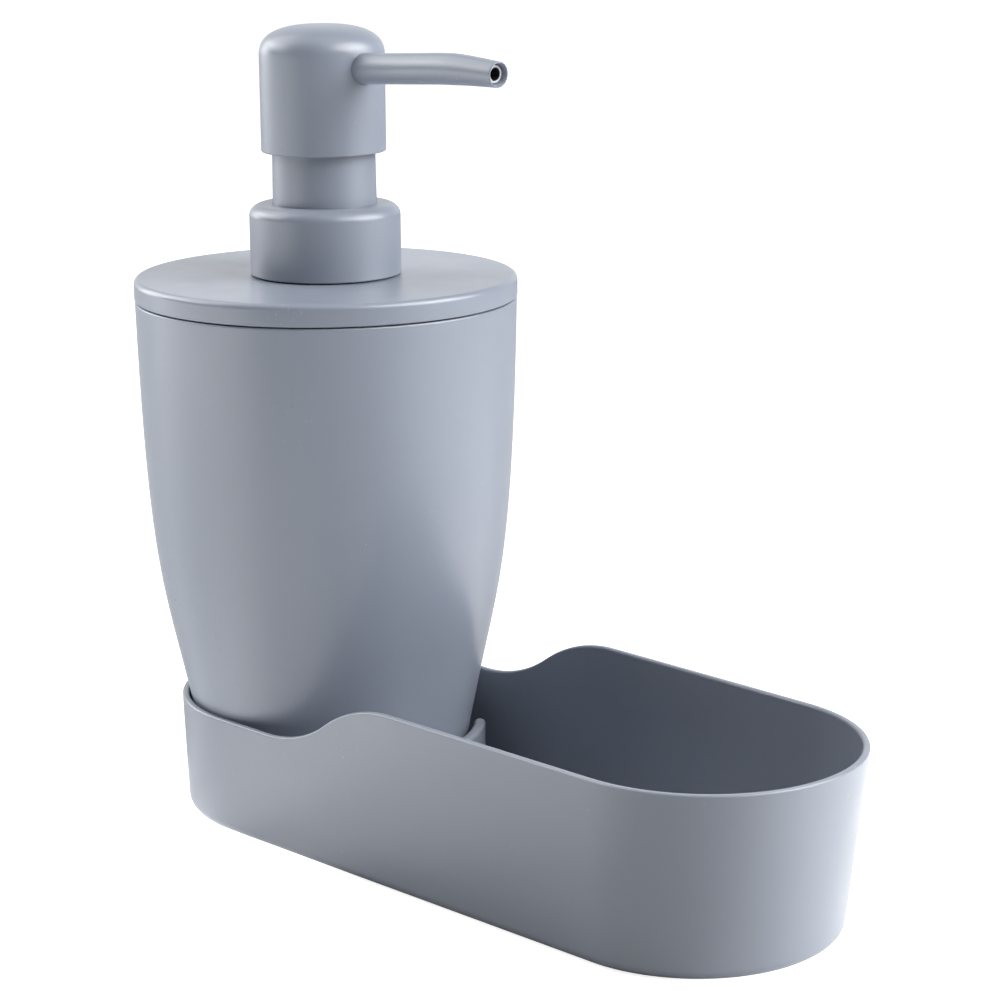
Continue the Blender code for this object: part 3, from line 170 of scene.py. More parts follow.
# %% Make the world
BACKDROP_BEARING = 139.0
BACKDROP_ELEVATION = 5.0
BACKDROP_LEVEL = 0.98
STUDIO_LEVEL = 0.02
FADE_INNER = cos(radians(20.0))
FADE_OUTER = cos(radians(50.0))


def polar(radius, angle, height=0.0, centre=(0.0, 0.0)):
    """A point at a distance and an angle from a centre in the plan, and at a height."""
    return Vector((centre[0] + radius * cos(angle), centre[1] + radius * sin(angle), height))


def direction(bearing, elevation=0.0):
    """A unit vector, from a bearing off the caddy's long axis and an elevation, in degrees."""
    return polar(cos(radians(elevation)), radians(bearing), sin(radians(elevation)))


def blank_tree(owner):
    """The node tree of a world or a material, emptied."""
    owner.use_nodes = True
    owner.node_tree.nodes.clear()
    return owner.node_tree


def faded(tree, towards, centre, to_low=0.0, to_high=1.0):
    """A level that is full round one direction and falls off at both its sides."""
    facing = measured(tree, "DOT_PRODUCT", towards, centre)
    return ranged(tree, facing, FADE_OUTER, FADE_INNER, to_low, to_high, ease="SMOOTHSTEP")


def white_light(tree, kind, strength):
    """A white background or a white glow."""
    return add_node(tree, kind, {"Color": linear(WHITE), "Strength": strength})


def seen_directly(tree):
    """1 where the camera looks, straight or through clear plastic, and 0 elsewhere."""
    path = tree.nodes.new("ShaderNodeLightPath").outputs
    return maths(tree, "MAXIMUM", path["Is Camera Ray"], path["Is Transmission Ray"])


scene.world = bpy.data.worlds.new("studio")
tree = blank_tree(scene.world)
towards = add_node(tree, "TexCoord", out="Generated")
behind = direction(BACKDROP_BEARING, BACKDROP_ELEVATION)
studio_level = faded(tree, towards, behind, STUDIO_LEVEL, BACKDROP_LEVEL)
shown = add_node(tree, "MixShader", {
    0: seen_directly(tree), 1: white_light(tree, "Background", studio_level),
    2: white_light(tree, "Background", 1.0)})
add_node(tree, "OutputWorld", {"Surface": shown})
scene.view_settings.view_transform = "Standard"
print("world nodes:", len(tree.nodes))

# %% [markdown]
# The floor is a matt sheet of pale paper, which lights the caddy's sides from below and keeps the
# object's shadow. Pools of light lie on it at the left and at the right, and the front is dim.
# The satin walls mirror them, which gives the bright flanks and the dark middle of the
# photograph. A glow that only the camera sees lifts the whole floor to white.

# %% Lay the floor
FLOOR_SIZE = 6.0
FLOOR_COLOUR = "#B3B3B3"
FLOOR_GLOW = 0.85
GLOW_RANGE = (0.3, 1.2)
POOL_RANGE = (0.3, 0.7)
# The bearing of each pool, and how bright it is near the object and far from it
POOLS = [(-124.0, 0.72, 1.97), (-84.0, 0.57, 0.0), (36.0, 1.22, 0.0)]


def as_object(name, shell):
    """Turn a bmesh into an object of the scene."""
    mesh = bpy.data.meshes.new(name)
    shell.to_mesh(mesh)
    shell.free()
    made = bpy.data.objects.new(name, mesh)
    scene.collection.objects.link(made)
    return made


sheet = bmesh.new()
bmesh.ops.create_grid(sheet, x_segments=1, y_segments=1, size=FLOOR_SIZE / 2)
floor = as_object("floor", sheet)

paper = bpy.data.materials.new("white_matt_paper")
tree = blank_tree(paper)
place = add_node(tree, "TexCoord", out="Object")
away = measured(tree, "LENGTH", place)
side = add_node(tree, "VectorMath", {0: place}, operation="NORMALIZE")
matt = add_node(tree, "BsdfDiffuse", {"Color": linear(FLOOR_COLOUR)})
for bearing, near_level, far_level in POOLS:
    level = ranged(tree, away, *POOL_RANGE, near_level, far_level)
    lit = maths(tree, "MULTIPLY", faded(tree, side, direction(bearing)), level)
    pool = white_light(tree, "Emission", lit)
    matt = add_node(tree, "AddShader", {0: matt, 1: pool})
strength = ranged(tree, away, *GLOW_RANGE, FLOOR_GLOW, 1.0)
glow = white_light(tree, "Emission", strength)
lifted = add_node(tree, "AddShader", {0: matt, 1: glow})
surface = add_node(tree, "MixShader", {0: seen_directly(tree), 1: matt, 2: lifted})
add_node(tree, "OutputMaterial", {"Surface": surface})
floor.data.materials.append(paper)
print("floor size, m:", FLOOR_SIZE)

# %% [markdown]
# Three soft boxes stand on each side, from low ones that light the walls to high ones that reach
# the lid and the head's dome, and a weak one hangs overhead.

# %% Place the soft boxes
LIGHT_TARGET = Vector((0.04, 0.0, 0.09))
FAR = 2.4
MIDDLE = 1.8
NEAR = 1.22
BROAD = (1.7, 1.3)
TALL = (0.9, 1.0)
FLAT = (1.0, 0.6)
WIDE = (1.1, 0.8)
# Bearing, elevation, distance, size and radiance. Radiance 1 is as bright as a lit white sheet
SOFT_BOXES = {
    "right": (36.0, 15.0, FAR, BROAD, 3.0), "right_upper": (36.0, 30.0, NEAR, FLAT, 3.8),
    "high_right": (20.0, 45.0, NEAR, WIDE, 5.9), "left": (-170.0, 14.0, MIDDLE, TALL, 4.4),
    "left_upper": (-140.0, 30.0, NEAR, FLAT, 2.4), "high_left": (-160.0, 45.0, NEAR, WIDE, 2.75),
    "overhead": (0.0, 88.0, NEAR, WIDE, 0.8)}

for name, (bearing, elevation, distance, size, radiance) in SOFT_BOXES.items():
    light = bpy.data.lights.new(f"{name}_soft_box", "AREA")
    light.shape = "RECTANGLE"
    light.size, light.size_y = size
    light.energy = radiance * pi * size[0] * size[1]
    lamp = bpy.data.objects.new(light.name, light)
    outwards = direction(bearing, elevation)
    lamp.location = LIGHT_TARGET + outwards * distance
    lamp.rotation_mode = "QUATERNION"
    lamp.rotation_quaternion = outwards.to_track_quat("Z", "Y")
    lamp.visible_camera = False
    scene.collection.objects.link(lamp)
print("lights:", len(bpy.data.lights))

# %% [markdown]
# ## Materials
# The cup, lid, collar, head, spout and caddy are injection moulded in a grey blue plastic, most
# likely ABS, from moulds with a fine satin finish. That gives an even colour, soft and wide
# highlights, and a faint unevenness where the plastic shrank. Four things build it: a slow drift
# in colour, a fine grain, a slow drift in roughness, and a few specks and rubs from handling.

# %% Moulded plastic
PLASTIC_IOR = 1.53
SATIN_GLOSS = 0.7
# Each pattern has a size, a number of finer octaves and their strength
DRIFT = (25 * MM, 2.0, 0.5)
RUB_LINES = (0.7 * MM, 3.0, 0.6)
RUB_PATCHES = (30 * MM, 1.0, 0.5)
GLOSS = (12 * MM, 2.0, 0.5)
GRAIN = (0.4 * MM, 2.0, 0.6)
SHRINK_WAVES = (14 * MM, 0.0, 0.5)
RUB_TURN = (0.3, 0.2, 0.7)
RUB_STRETCH = (1.0, 0.06, 0.5)
RUB_FULL = 0.74
PATCH_RANGE = (0.55, 0.68)
# Where the lines start, how far they pale the colour, and what they take off the roughness
RUB = (0.64, 0.16, 0.08)
SCUFF = (0.60, 0.45, -0.1)
SCUFF_REACH = 11.0 * MM
SCUFF_CORE_SHARE = 0.4
DUST_CELL = 9 * MM
DUST_RANGE = (0.012, 0.022)
DUST_STRENGTH = 0.35
MARK_COLOUR = "#D4D6DA"
GLOSS_RANGE = (0.3, 0.7)
GLOSS_DRIFT = 0.03
FINE_GRAIN = 0.006 * MM
GRAIN_STRENGTH = 0.5
WAVE_STRENGTH = 0.25
WAVES_TO_GRAIN = 4


def principled(name):
    """A new material, with its node tree, its shader and the place on the object."""
    made = bpy.data.materials.new(name)
    made.use_nodes = True
    tree = made.node_tree
    place = add_node(tree, "TexCoord", out="Object")
    return made, tree, tree.nodes["Principled BSDF"], place


def bump(tree, height, strength, distance, **under):
    """A bump, which may lie over another one."""
    return add_node(tree, "Bump", {
        "Height": height, "Strength": strength, "Distance": distance, **under})


def moulded(name, colours, roughness, handling=1.0, grain_depth=FINE_GRAIN, scuffed_at=None):
    """A satin moulded plastic. Handling fades specks and rubs, and grain depth is in metres."""
    made, tree, shader, place = principled(name)
    shader.inputs["IOR"].default_value = PLASTIC_IOR
    shader.inputs["Specular IOR Level"].default_value = SATIN_GLOSS

    # Colour drifts slowly over the surface, as pigment does in a moulding
    body = blend(tree, noise(tree, place, *DRIFT), *colours)

    # Rubbed lines about 0.3 mm wide and 10 mm long, kept to a few patches
    starts_at, paling, polish = SCUFF if scuffed_at else RUB
    lengthened = add_node(tree, "Mapping", {
        "Vector": place, "Rotation": RUB_TURN, "Scale": RUB_STRETCH})
    lines = ranged(tree, noise(tree, lengthened, *RUB_LINES), starts_at, RUB_FULL)
    patches = ranged(tree, noise(tree, place, *RUB_PATCHES), *PATCH_RANGE, to_high=handling)
    if scuffed_at:
        reach = measured(tree, "DISTANCE", place, scuffed_at)
        scuff = ranged(tree, reach, SCUFF_CORE_SHARE * SCUFF_REACH, SCUFF_REACH, 1.0, 0.0)
        patches = maths(tree, "MAXIMUM", patches, scuff)
    rubbed = maths(tree, "MULTIPLY", lines, patches)

    # Specks of dust 0.3 mm across, one in each cell or so
    cells = add_node(tree, "TexVoronoi", {"Vector": place, "Scale": 1 / DUST_CELL})
    specks = ranged(tree, cells, *DUST_RANGE, DUST_STRENGTH * handling, 0.0)
    marks = maths(tree, "MAXIMUM", maths(tree, "MULTIPLY", rubbed, paling), specks)
    tree.links.new(blend(tree, marks, body, MARK_COLOUR), shader.inputs["Base Color"])

    # Roughness drifts too. A rub is a little glossier, and a scuff scatters light
    low, high = roughness - GLOSS_DRIFT, roughness + GLOSS_DRIFT
    gloss = ranged(tree, noise(tree, place, *GLOSS), *GLOSS_RANGE, low, high)
    gloss = maths(tree, "SUBTRACT", gloss, maths(tree, "MULTIPLY", rubbed, polish))
    tree.links.new(gloss, shader.inputs["Roughness"])

    # The mould's grain is near 0.1 mm on the real one, drawn at 0.4 mm so that it shows,
    # over long shallow waves of shrinkage
    waves = noise(tree, place, *SHRINK_WAVES)
    shrink = bump(tree, waves, WAVE_STRENGTH, WAVES_TO_GRAIN * grain_depth)
    grain = noise(tree, place, *GRAIN)
    grained = bump(tree, grain, GRAIN_STRENGTH, grain_depth, Normal=shrink)
    tree.links.new(grained, shader.inputs["Normal"])
    return made


# Each pair of colours is the darker one and the paler one
CADDY_COLOURS = ("#828894", "#868C98")
BODY_COLOURS = ("#7F8693", "#838A97")
# The photograph shows the lid scuffed in front of the collar, where fingers turn the pump
LID_SCUFF = (0.011, -0.0215, 0.1265)
finishes = {
    "caddy_plastic": moulded("moulded_abs_caddy", CADDY_COLOURS, 0.33),
    "cup_plastic": moulded("moulded_abs_cup", BODY_COLOURS, 0.31),
    "lid_plastic": moulded("moulded_abs_lid", BODY_COLOURS, 0.31, scuffed_at=LID_SCUFF),
    "closure_plastic": moulded("moulded_abs_closure", BODY_COLOURS, 0.35),
    "head_plastic": moulded("moulded_abs_head", BODY_COLOURS, 0.36)}
print("plastics:", *finishes)

# %% [markdown]
# The pump's hidden parts are unpigmented polypropylene and polyethylene: milky white, slightly
# waxy, with soft edges. They come from the same recipe with paler colours. The gasket and the
# lid's seal are soft, matt rubber. The ball and the spring are stainless steel: the ball is
# polished, and the spring keeps the fine lines of wire drawing.

# %% Hidden plastics, rubber and steel
HIDDEN = 0.3
SEAL_HANDLING = 0.6
TUBE_CLARITY = 0.12
STEEL_COLOURS = ("#BDBCB8", "#D0CFCC")
STEEL_TONE = (3 * MM, 2.0, 0.5)
STEEL_LINES = (3.0, 0.5)
STEEL_SPREAD = 0.06
LINE_STRENGTH = 0.2
LINE_DEPTH = 0.002 * MM

finishes |= {
    "natural_plastic": moulded(
        "moulded_natural_polypropylene", ("#DDDDD7", "#E6E6E1"), 0.40, HIDDEN),
    "piston_plastic": moulded("moulded_tinted_polyethylene", ("#C3CBD5", "#CBD3DC"), 0.44, HIDDEN),
    "nozzle": moulded("extruded_polypropylene_nozzle", ("#A6AAAE", "#AFB2B6"), 0.38, HIDDEN),
    # A near-black finish that paints the shade inside the nozzle's bore
    "soap": moulded("dried_soap_film", ("#2A2825", "#34312D"), 0.45, HIDDEN),
    "seal_rubber": moulded(
        "moulded_silicone_rubber", ("#D2D3D2", "#DADBDA"), 0.62, SEAL_HANDLING, 2 * FINE_GRAIN),
    "tube_plastic": moulded(
        "extruded_clear_polyethylene_tube", ("#CCD3D4", "#D3D9DA"), 0.26, HIDDEN)}
tube_shader = finishes["tube_plastic"].node_tree.nodes["Principled BSDF"]
tube_shader.inputs["Transmission Weight"].default_value = TUBE_CLARITY


def steel(name, roughness, line_spacing):
    """Stainless steel with fine drawn lines."""
    made, tree, shader, place = principled(name)
    shader.inputs["Metallic"].default_value = 1.0
    tint = blend(tree, noise(tree, place, *STEEL_TONE), *STEEL_COLOURS)
    tree.links.new(tint, shader.inputs["Base Color"])
    lines = noise(tree, place, line_spacing, *STEEL_LINES)
    spread = ranged(tree, lines, 0.0, 1.0, roughness - STEEL_SPREAD, roughness + STEEL_SPREAD)
    tree.links.new(spread, shader.inputs["Roughness"])
    tree.links.new(bump(tree, lines, LINE_STRENGTH, LINE_DEPTH), shader.inputs["Normal"])
    return made


finishes["wire"] = steel("drawn_stainless_wire", 0.28, 0.3 * MM)
finishes["ball"] = steel("polished_stainless_ball", 0.12, 0.8 * MM)
print("finishes:", *finishes)

# %% [markdown]
# ## Turning a profile
# Most of the pieces are round. Each starts as half of its section, drawn as a flat outline of a
# few corners. A vertex bevel rounds some of them, and a full spin about the axis turns the
# outline into a closed wall. Weighted normals keep the large flat faces flat in the shading, so
# that only the rounded edges catch the light.

# %% Helpers for turned pieces
TURN_STEPS = 144
ROUND_SEGMENTS = 6
WELD = 0.001 * MM
SHARP_ANGLE = radians(35.0)


def quarter(steps):
    """The angles of a quarter turn in even steps."""
    return [pi / 2 * step / steps for step in range(steps + 1)]


def turned(corners, foot_z=0.0, steps=TURN_STEPS):
    """Spin an outline of (radius, height) or (radius, height, rounding), in mm, about the axis."""
    shell = bmesh.new()
    spots = [shell.verts.new((corner[0] * MM, 0.0, foot_z + corner[1] * MM)) for corner in corners]
    shell.faces.new(spots)
    rounded = [(spot, corner[2]) for spot, corner in zip(spots, corners) if len(corner) > 2]
    for rounding in sorted({size for spot, size in rounded}, reverse=True):
        bmesh.ops.bevel(
            shell, geom=[spot for spot, size in rounded if size == rounding], affect="VERTICES",
            offset=rounding * MM, segments=ROUND_SEGMENTS, profile=0.5, material=-1)
    bmesh.ops.delete(shell, geom=shell.faces[:], context="FACES_ONLY")
    on_axis = [edge for edge in shell.edges if all(abs(spot.co.x) < WELD for spot in edge.verts)]
    bmesh.ops.delete(shell, geom=on_axis, context="EDGES")
    bmesh.ops.spin(
        shell, geom=shell.verts[:] + shell.edges[:], cent=(0.0, 0.0, 0.0), axis=(0.0, 0.0, 1.0),
        angle=tau, steps=steps, use_merge=True)
    bmesh.ops.remove_doubles(shell, verts=shell.verts[:], dist=WELD)
    bmesh.ops.recalc_face_normals(shell, faces=shell.faces[:])
    return shell


def shade(piece):
    """Shade an object smooth between its sharp edges, with its flat faces kept flat."""
    piece.data.shade_smooth()
    piece.data.set_sharp_from_angle(angle=SHARP_ANGLE)
    piece.modifiers.clear()
    piece.modifiers.new("Flat faces stay flat", "WEIGHTED_NORMAL").keep_sharp = True


def add_piece(name, shell, body, slot, stands_for=(), finish=None):
    """Make an object of a bmesh, shade it, and let it ride on a body of the model."""
    piece = as_object(name, shell)
    piece.data.materials.append(finishes[finish or slot])
    shade(piece)
    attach(piece, body)
    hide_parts(*stands_for)
    print(name, "faces:", len(piece.data.polygons))
    return piece


def add_turned(name, corners, body, slot, node):
    """Add a turned piece that stands where a part of the model does, and replaces it."""
    return add_piece(name, turned(corners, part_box(node)[0].z), body, slot, [node])


def height_of(node):
    """The height of a part of the model, in mm."""
    low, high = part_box(node)
    return (high.z - low.z) / MM


# %% [markdown]
# ## The cup
# The cup is one deep moulding. Its wall leaves the foot at a clear flare and stands almost
# upright at the rim, as a Bezier segment does. The underside is raised a little inside a foot
# ring.

# %% Build the cup
CUP_HEIGHT = 118.6
CUP_RIM = 43.88
CUP_FOOT = 30.1
CUP_FOOT_TOP = 3.3
CUP_WALL = 1.9
CUP_FLOOR = 3.1
CUP_FLARE = radians(9.1)
CUP_UPRIGHT = radians(1.15)
CUP_WALL_POINTS = 26
INNER_WALL_FOOT = 4.5
RING_WIDTH = 5.9
RING_ROOT_WIDTH = 6.8
RING_DEPTH = 0.9
LOWER_HANDLE_SHARE = 0.431
UPPER_HANDLE_SHARE = 0.665


def cup_wall(offset):
    """Points up the cup's wall as (radius, height), moved inwards by an offset."""
    rise = CUP_HEIGHT - CUP_FOOT_TOP
    foot = Vector((CUP_FOOT, CUP_FOOT_TOP))
    rim = Vector((CUP_RIM, CUP_HEIGHT))
    lower = foot + Vector((sin(CUP_FLARE), cos(CUP_FLARE))) * LOWER_HANDLE_SHARE * rise
    upper = rim - Vector((sin(CUP_UPRIGHT), cos(CUP_UPRIGHT))) * UPPER_HANDLE_SHARE * rise
    points = interpolate_bezier(foot, lower, upper, rim, CUP_WALL_POINTS)
    moved = []
    for index, point in enumerate(points):
        run = points[min(index + 1, len(points) - 1)] - points[max(index - 1, 0)]
        moved.append(point + Vector((-run.y, run.x)).normalized() * offset)
    return moved


def cup_radius_at(height, offset=0.0):
    """The cup's radius at a height above its base."""
    points = cup_wall(offset)
    for low, high in zip(points, points[1:]):
        if low.y <= height <= high.y:
            return low.x + (high.x - low.x) * (height - low.y) / (high.y - low.y)
    return points[0].x - (points[0].y - height) * tan(CUP_FLARE)


inner_wall = [point for point in cup_wall(CUP_WALL) if point.y > CUP_FLOOR + INNER_WALL_FOOT]
foot_corner = CUP_FOOT - tan(CUP_FLARE) * CUP_FOOT_TOP
cup = [(0.0, CUP_FLOOR), (cup_radius_at(CUP_FLOOR, CUP_WALL), CUP_FLOOR, 3.0)]
cup += [tuple(point) for point in inner_wall[:-1]]
cup += [(CUP_RIM - CUP_WALL, CUP_HEIGHT, 0.45), (CUP_RIM, CUP_HEIGHT, 0.45)]
cup += [tuple(point) for point in cup_wall(0.0)[-2::-1]]
cup += [(foot_corner, 0.0, 2.4), (foot_corner - RING_WIDTH, 0.0, 0.3)]
cup += [(foot_corner - RING_ROOT_WIDTH, RING_DEPTH, 0.3), (0.0, RING_DEPTH)]
add_turned("cup_moulding", cup, "cup", "cup_plastic", "cup")

# %% [markdown]
# ## The lid
# The lid is a flat plate with a softly rounded edge. Under it a skirt plugs into the cup, with a
# groove for the sealing ring, and on it stands the threaded neck that takes the pump.

# %% Build the lid
LID_HEIGHT = 4.93
LID_RADIUS = 44.0
LID_PLATE = 2.0
SKIRT_DEPTH = 8.2
SKIRT_GAP = 0.35
SKIRT_WALL = 1.7
SEAL_RADIUS = 0.85
SEAL_DEPTH = 4.6
SEAL_GAP = 0.12
GROOVE_GAP = 0.3
GROOVE_HALF = 1.15
NECK_RADIUS = 12.9
NECK_BORE = 10.9
NECK_TOP = LID_HEIGHT + 9.55

lid_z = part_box("lid")[0].z + SKIRT_DEPTH * MM
skirt_radius = cup_radius_at(CUP_HEIGHT - SKIRT_DEPTH, CUP_WALL) - SKIRT_GAP
ring_radius = cup_radius_at(CUP_HEIGHT - SEAL_DEPTH - SEAL_RADIUS, CUP_WALL)
ring_radius -= SEAL_GAP + SEAL_RADIUS
groove_radius = ring_radius - SEAL_RADIUS - GROOVE_GAP
groove_top = -SEAL_DEPTH + GROOVE_HALF
groove_foot = -SEAL_DEPTH - GROOVE_HALF
skirt_bore = groove_radius - SKIRT_WALL
plate_foot = LID_HEIGHT - LID_PLATE
lid = [
    (NECK_BORE, NECK_TOP, 0.4), (NECK_RADIUS, NECK_TOP, 0.4), (NECK_RADIUS, LID_HEIGHT, 0.25),
    (LID_RADIUS, LID_HEIGHT, 1.35), (LID_RADIUS, 0.0, 0.3), (skirt_radius, 0.0, 0.2),
    (skirt_radius, groove_top, 0.15), (groove_radius, groove_top), (groove_radius, groove_foot),
    (skirt_radius, groove_foot, 0.15), (skirt_radius, -SKIRT_DEPTH, 0.5),
    (skirt_bore, -SKIRT_DEPTH, 0.3), (skirt_bore, plate_foot, 0.8), (NECK_BORE, plate_foot, 0.3)]
add_piece("lid_moulding", turned(lid, lid_z), "lid", "lid_plastic", ["lid"])

# %% [markdown]
# ## A helper for swept pieces
# Threads, the spring and the spout are all a small section that travels along a path. The
# section is a ring of vertices, which is extruded step by step and takes the place and size
# that the path gives there.

# %% Helper for swept pieces


def swept(section, stations, closed=False):
    """Extrude a ring of (across, up) points, in mm, through a list of placing matrices."""
    shell = bmesh.new()
    points = [Vector((across * MM, up * MM, 0.0)) for across, up in section]
    ring = [shell.verts.new(stations[0] @ point) for point in points]
    first = [shell.edges.new(pair) for pair in zip(ring, ring[1:] + ring[:1])]
    edges = first
    for before, after in zip(stations, stations[1:]):
        raised = bmesh.ops.extrude_edge_only(shell, edges=edges)["geom"]
        spots = [item for item in raised if isinstance(item, bmesh.types.BMVert)]
        edges = [item for item in raised if isinstance(item, bmesh.types.BMEdge)]
        edges = [edge for edge in edges if all(spot in spots for spot in edge.verts)]
        bmesh.ops.transform(shell, matrix=after @ before.inverted(), verts=spots)
    if closed:
        bmesh.ops.bridge_loops(shell, edges=first + edges)
    else:
        bmesh.ops.contextual_create(shell, geom=first)
        bmesh.ops.contextual_create(shell, geom=edges)
    bmesh.ops.remove_doubles(shell, verts=shell.verts[:], dist=WELD)
    bmesh.ops.recalc_face_normals(shell, faces=shell.faces[:])
    return shell


def circle(radius, count):
    """The points of a round section."""
    angles = [tau * step / count for step in range(count)]
    return [(radius * cos(angle), radius * sin(angle)) for angle in angles]


def along(place, forward):
    """A matrix that carries a section to a place and faces it along a direction."""
    return Matrix.Translation(place) @ forward.to_track_quat("Z", "Y").to_matrix().to_4x4()


print("points in a section of 12:", len(circle(1.0, 12)))

# %% [markdown]
# ## The thread on the neck and in the collar
# One and a half turns of thread lift the collar by 4.2 mm a turn. The ridge is a blunt wedge
# that grows out of the wall over its first sixth of a turn and dies away at its end, as a
# moulded thread does. The collar's own ridge sits half a turn of height away from it.

# %% Helper for threads
THREAD_SECTION = [(-0.15, -0.75), (0.85, -0.25), (0.85, 0.25), (-0.15, 0.75)]
THREAD_PITCH = 4.23
THREAD_TURNS = 1.5
THREAD_STEPS = 108
THREAD_START = 1.6
RUN_OUT_SHARE = 0.11
LEAST_SHARE = 0.02


def thread(radius, outwards, foot_z):
    """A ridge of one and a half turns on a cylinder of this radius, in mm."""
    upright = Matrix.Rotation(pi / 2, 4, "X")
    stations = []
    for step in range(THREAD_STEPS + 1):
        share = step / THREAD_STEPS
        fade = min(share, 1.0 - share) / RUN_OUT_SHARE
        reach = max(sin(pi / 2 * min(fade, 1.0)), LEAST_SHARE)
        rise = share * THREAD_TURNS * THREAD_PITCH * MM
        lift = Matrix.Translation((radius * MM, 0.0, foot_z + rise))
        facing = Matrix.Diagonal((reach if outwards else -reach, 1.0, 1.0, 1.0))
        turn = Matrix.Rotation(share * THREAD_TURNS * tau, 4, "Z")
        stations.append(turn @ lift @ upright @ facing)
    return swept(THREAD_SECTION, stations)


ridge = thread(NECK_RADIUS, True, lid_z + (LID_HEIGHT + THREAD_START) * MM)
add_piece("lid_thread", ridge, "lid", "lid_plastic")

# %% [markdown]
# ## The sealing ring
# A soft ring sits in the skirt's groove. It is a round section spun about the axis.

# %% Build the sealing ring
SEAL_SIDES = 20
ring_corners = [(ring_radius + across, up) for across, up in circle(SEAL_RADIUS, SEAL_SIDES)]
ring = turned(ring_corners, lid_z - SEAL_DEPTH * MM)
add_piece("sealing_ring", ring, "lid", "seal_rubber", ["lid_seal"])

# %% [markdown]
# ## The collar
# What looks like one cap is two pieces: a smooth cover, and the threaded insert that it hides.
# The cover's shoulder is a quarter of an ellipse, a little wider than it is high.

# %% Build the collar
COLLAR_RADIUS = 17.3
COLLAR_WALL = 0.9
COVER_TOP = 0.8
COVER_BORE = 11.95
SHOULDER_RISE = 2.6
SHOULDER_RUN = 3.1
SHOULDER_STEPS = 12
SLEEVE_FOOT = 11.94
NUT_RADIUS = 16.1
NUT_BORE = 14.1
NUT_TOP = 1.1
NUT_GAP = 0.6
NUT_THREAD_RISE = 1.0

collar_height = height_of("collar_shell")
nut_height = height_of("collar_nut")


def shoulder(offset):
    """The collar's shoulder from its top down to its side, moved inwards by an offset."""
    side, top = COLLAR_RADIUS - SHOULDER_RUN, collar_height - SHOULDER_RISE
    return [
        (side + (SHOULDER_RUN - offset) * sin(angle), top + (SHOULDER_RISE - offset) * cos(angle))
        for angle in quarter(SHOULDER_STEPS)]


cover = [(COVER_BORE, collar_height, 0.1)] + shoulder(0.0) + [(COLLAR_RADIUS, 0.0, 0.3)]
cover += [(COLLAR_RADIUS - COLLAR_WALL, 0.0, 0.2)] + shoulder(COLLAR_WALL)[::-1]
cover += [(COVER_BORE, collar_height - COVER_TOP, 0.1)]
add_turned("collar_cover", cover, "collar", "closure_plastic", "collar_shell")

nut_hole = SLEEVE_FOOT + NUT_GAP
insert = [
    (nut_hole, nut_height, 0.15), (NUT_RADIUS, nut_height, 2.2), (NUT_RADIUS, 0.0, 0.3),
    (NUT_BORE, 0.0, 0.3), (NUT_BORE, nut_height - NUT_TOP, 0.3),
    (nut_hole, nut_height - NUT_TOP, 0.15)]
add_turned("collar_insert", insert, "collar", "natural_plastic", "collar_nut")
ridge_z = LID_HEIGHT + THREAD_START - THREAD_PITCH / 2 + NUT_THREAD_RISE
ridge = thread(NUT_BORE, False, lid_z + ridge_z * MM)
add_piece("insert_thread", ridge, "collar", "natural_plastic")

# %% [markdown]
# ## The neck sleeve and the gasket
# The sleeve is the smooth tube that the head slides over. It tapers slightly, so that it leaves
# its mould. Its flange is clamped by the collar, over the pump's flange and a soft gasket.

# %% Build the sleeve and the gasket
SLEEVE_TOP = 11.72
SLEEVE_BORE = 6.95
SLEEVE_WALL = 1.2
SLEEVE_FLANGE = 1.0
FLANGE_RADIUS = 13.2

sleeve_height = height_of("neck_sleeve")
under_top = sleeve_height - SLEEVE_WALL
sleeve = [
    (SLEEVE_BORE, sleeve_height, 0.2), (SLEEVE_TOP, sleeve_height, 0.6),
    (SLEEVE_FOOT, SLEEVE_FLANGE), (FLANGE_RADIUS, SLEEVE_FLANGE, 0.15),
    (FLANGE_RADIUS, 0.0, 0.15), (SLEEVE_FOOT - SLEEVE_WALL, 0.0, 0.15),
    (SLEEVE_TOP - SLEEVE_WALL, under_top, 0.4), (SLEEVE_BORE, under_top, 0.2)]
add_turned("neck_tube", sleeve, "pump", "closure_plastic", "neck_sleeve")

gasket_height = height_of("gasket")
washer = [
    (NECK_BORE, gasket_height, 0.15), (FLANGE_RADIUS, gasket_height, 0.15),
    (FLANGE_RADIUS, 0.0, 0.15), (NECK_BORE, 0.0, 0.15)]
add_turned("flange_gasket", washer, "pump", "seal_rubber", "gasket")

# %% [markdown]
# ## The head
# The push button is a short cylinder under a soft dome. The dome isn't a half ball: its sides
# stay upright for longer and its top is flatter, which a superellipse draws with one exponent.

# %% Build the head
HEAD_RADIUS = 14.22
HEAD_WALL = 1.4
DOME_HEIGHT = 7.0
DOME_WALL = 1.6
DOME_SHARE = 2 / 2.58
DOME_STEPS = 22

dome_foot = height_of("head_shell") - DOME_HEIGHT
head_bore = HEAD_RADIUS - HEAD_WALL


def dome(radius, rise):
    """Points from the dome's top down to its side."""
    return [
        (radius * sin(angle) ** DOME_SHARE, dome_foot + rise * max(cos(angle), 0.0) ** DOME_SHARE)
        for angle in quarter(DOME_STEPS)]


button = dome(HEAD_RADIUS, DOME_HEIGHT) + [(HEAD_RADIUS, 0.0, 0.35), (head_bore, 0.0, 0.35)]
button += dome(head_bore, DOME_HEIGHT - DOME_WALL)[::-1]
head = add_turned("head_button", button, "head", "head_plastic", "head_shell")

# %% [markdown]
# ## The spout
# The spout climbs a little out of the head, bends softly and runs down to its tip, getting
# thinner from the bend on. Its mouth is countersunk, and a pale nozzle tube sits just inside.
# The path is two straight runs that a quadratic curve joins, and the section is a circle that
# goes out along the outside, round the rim and back through the bore.

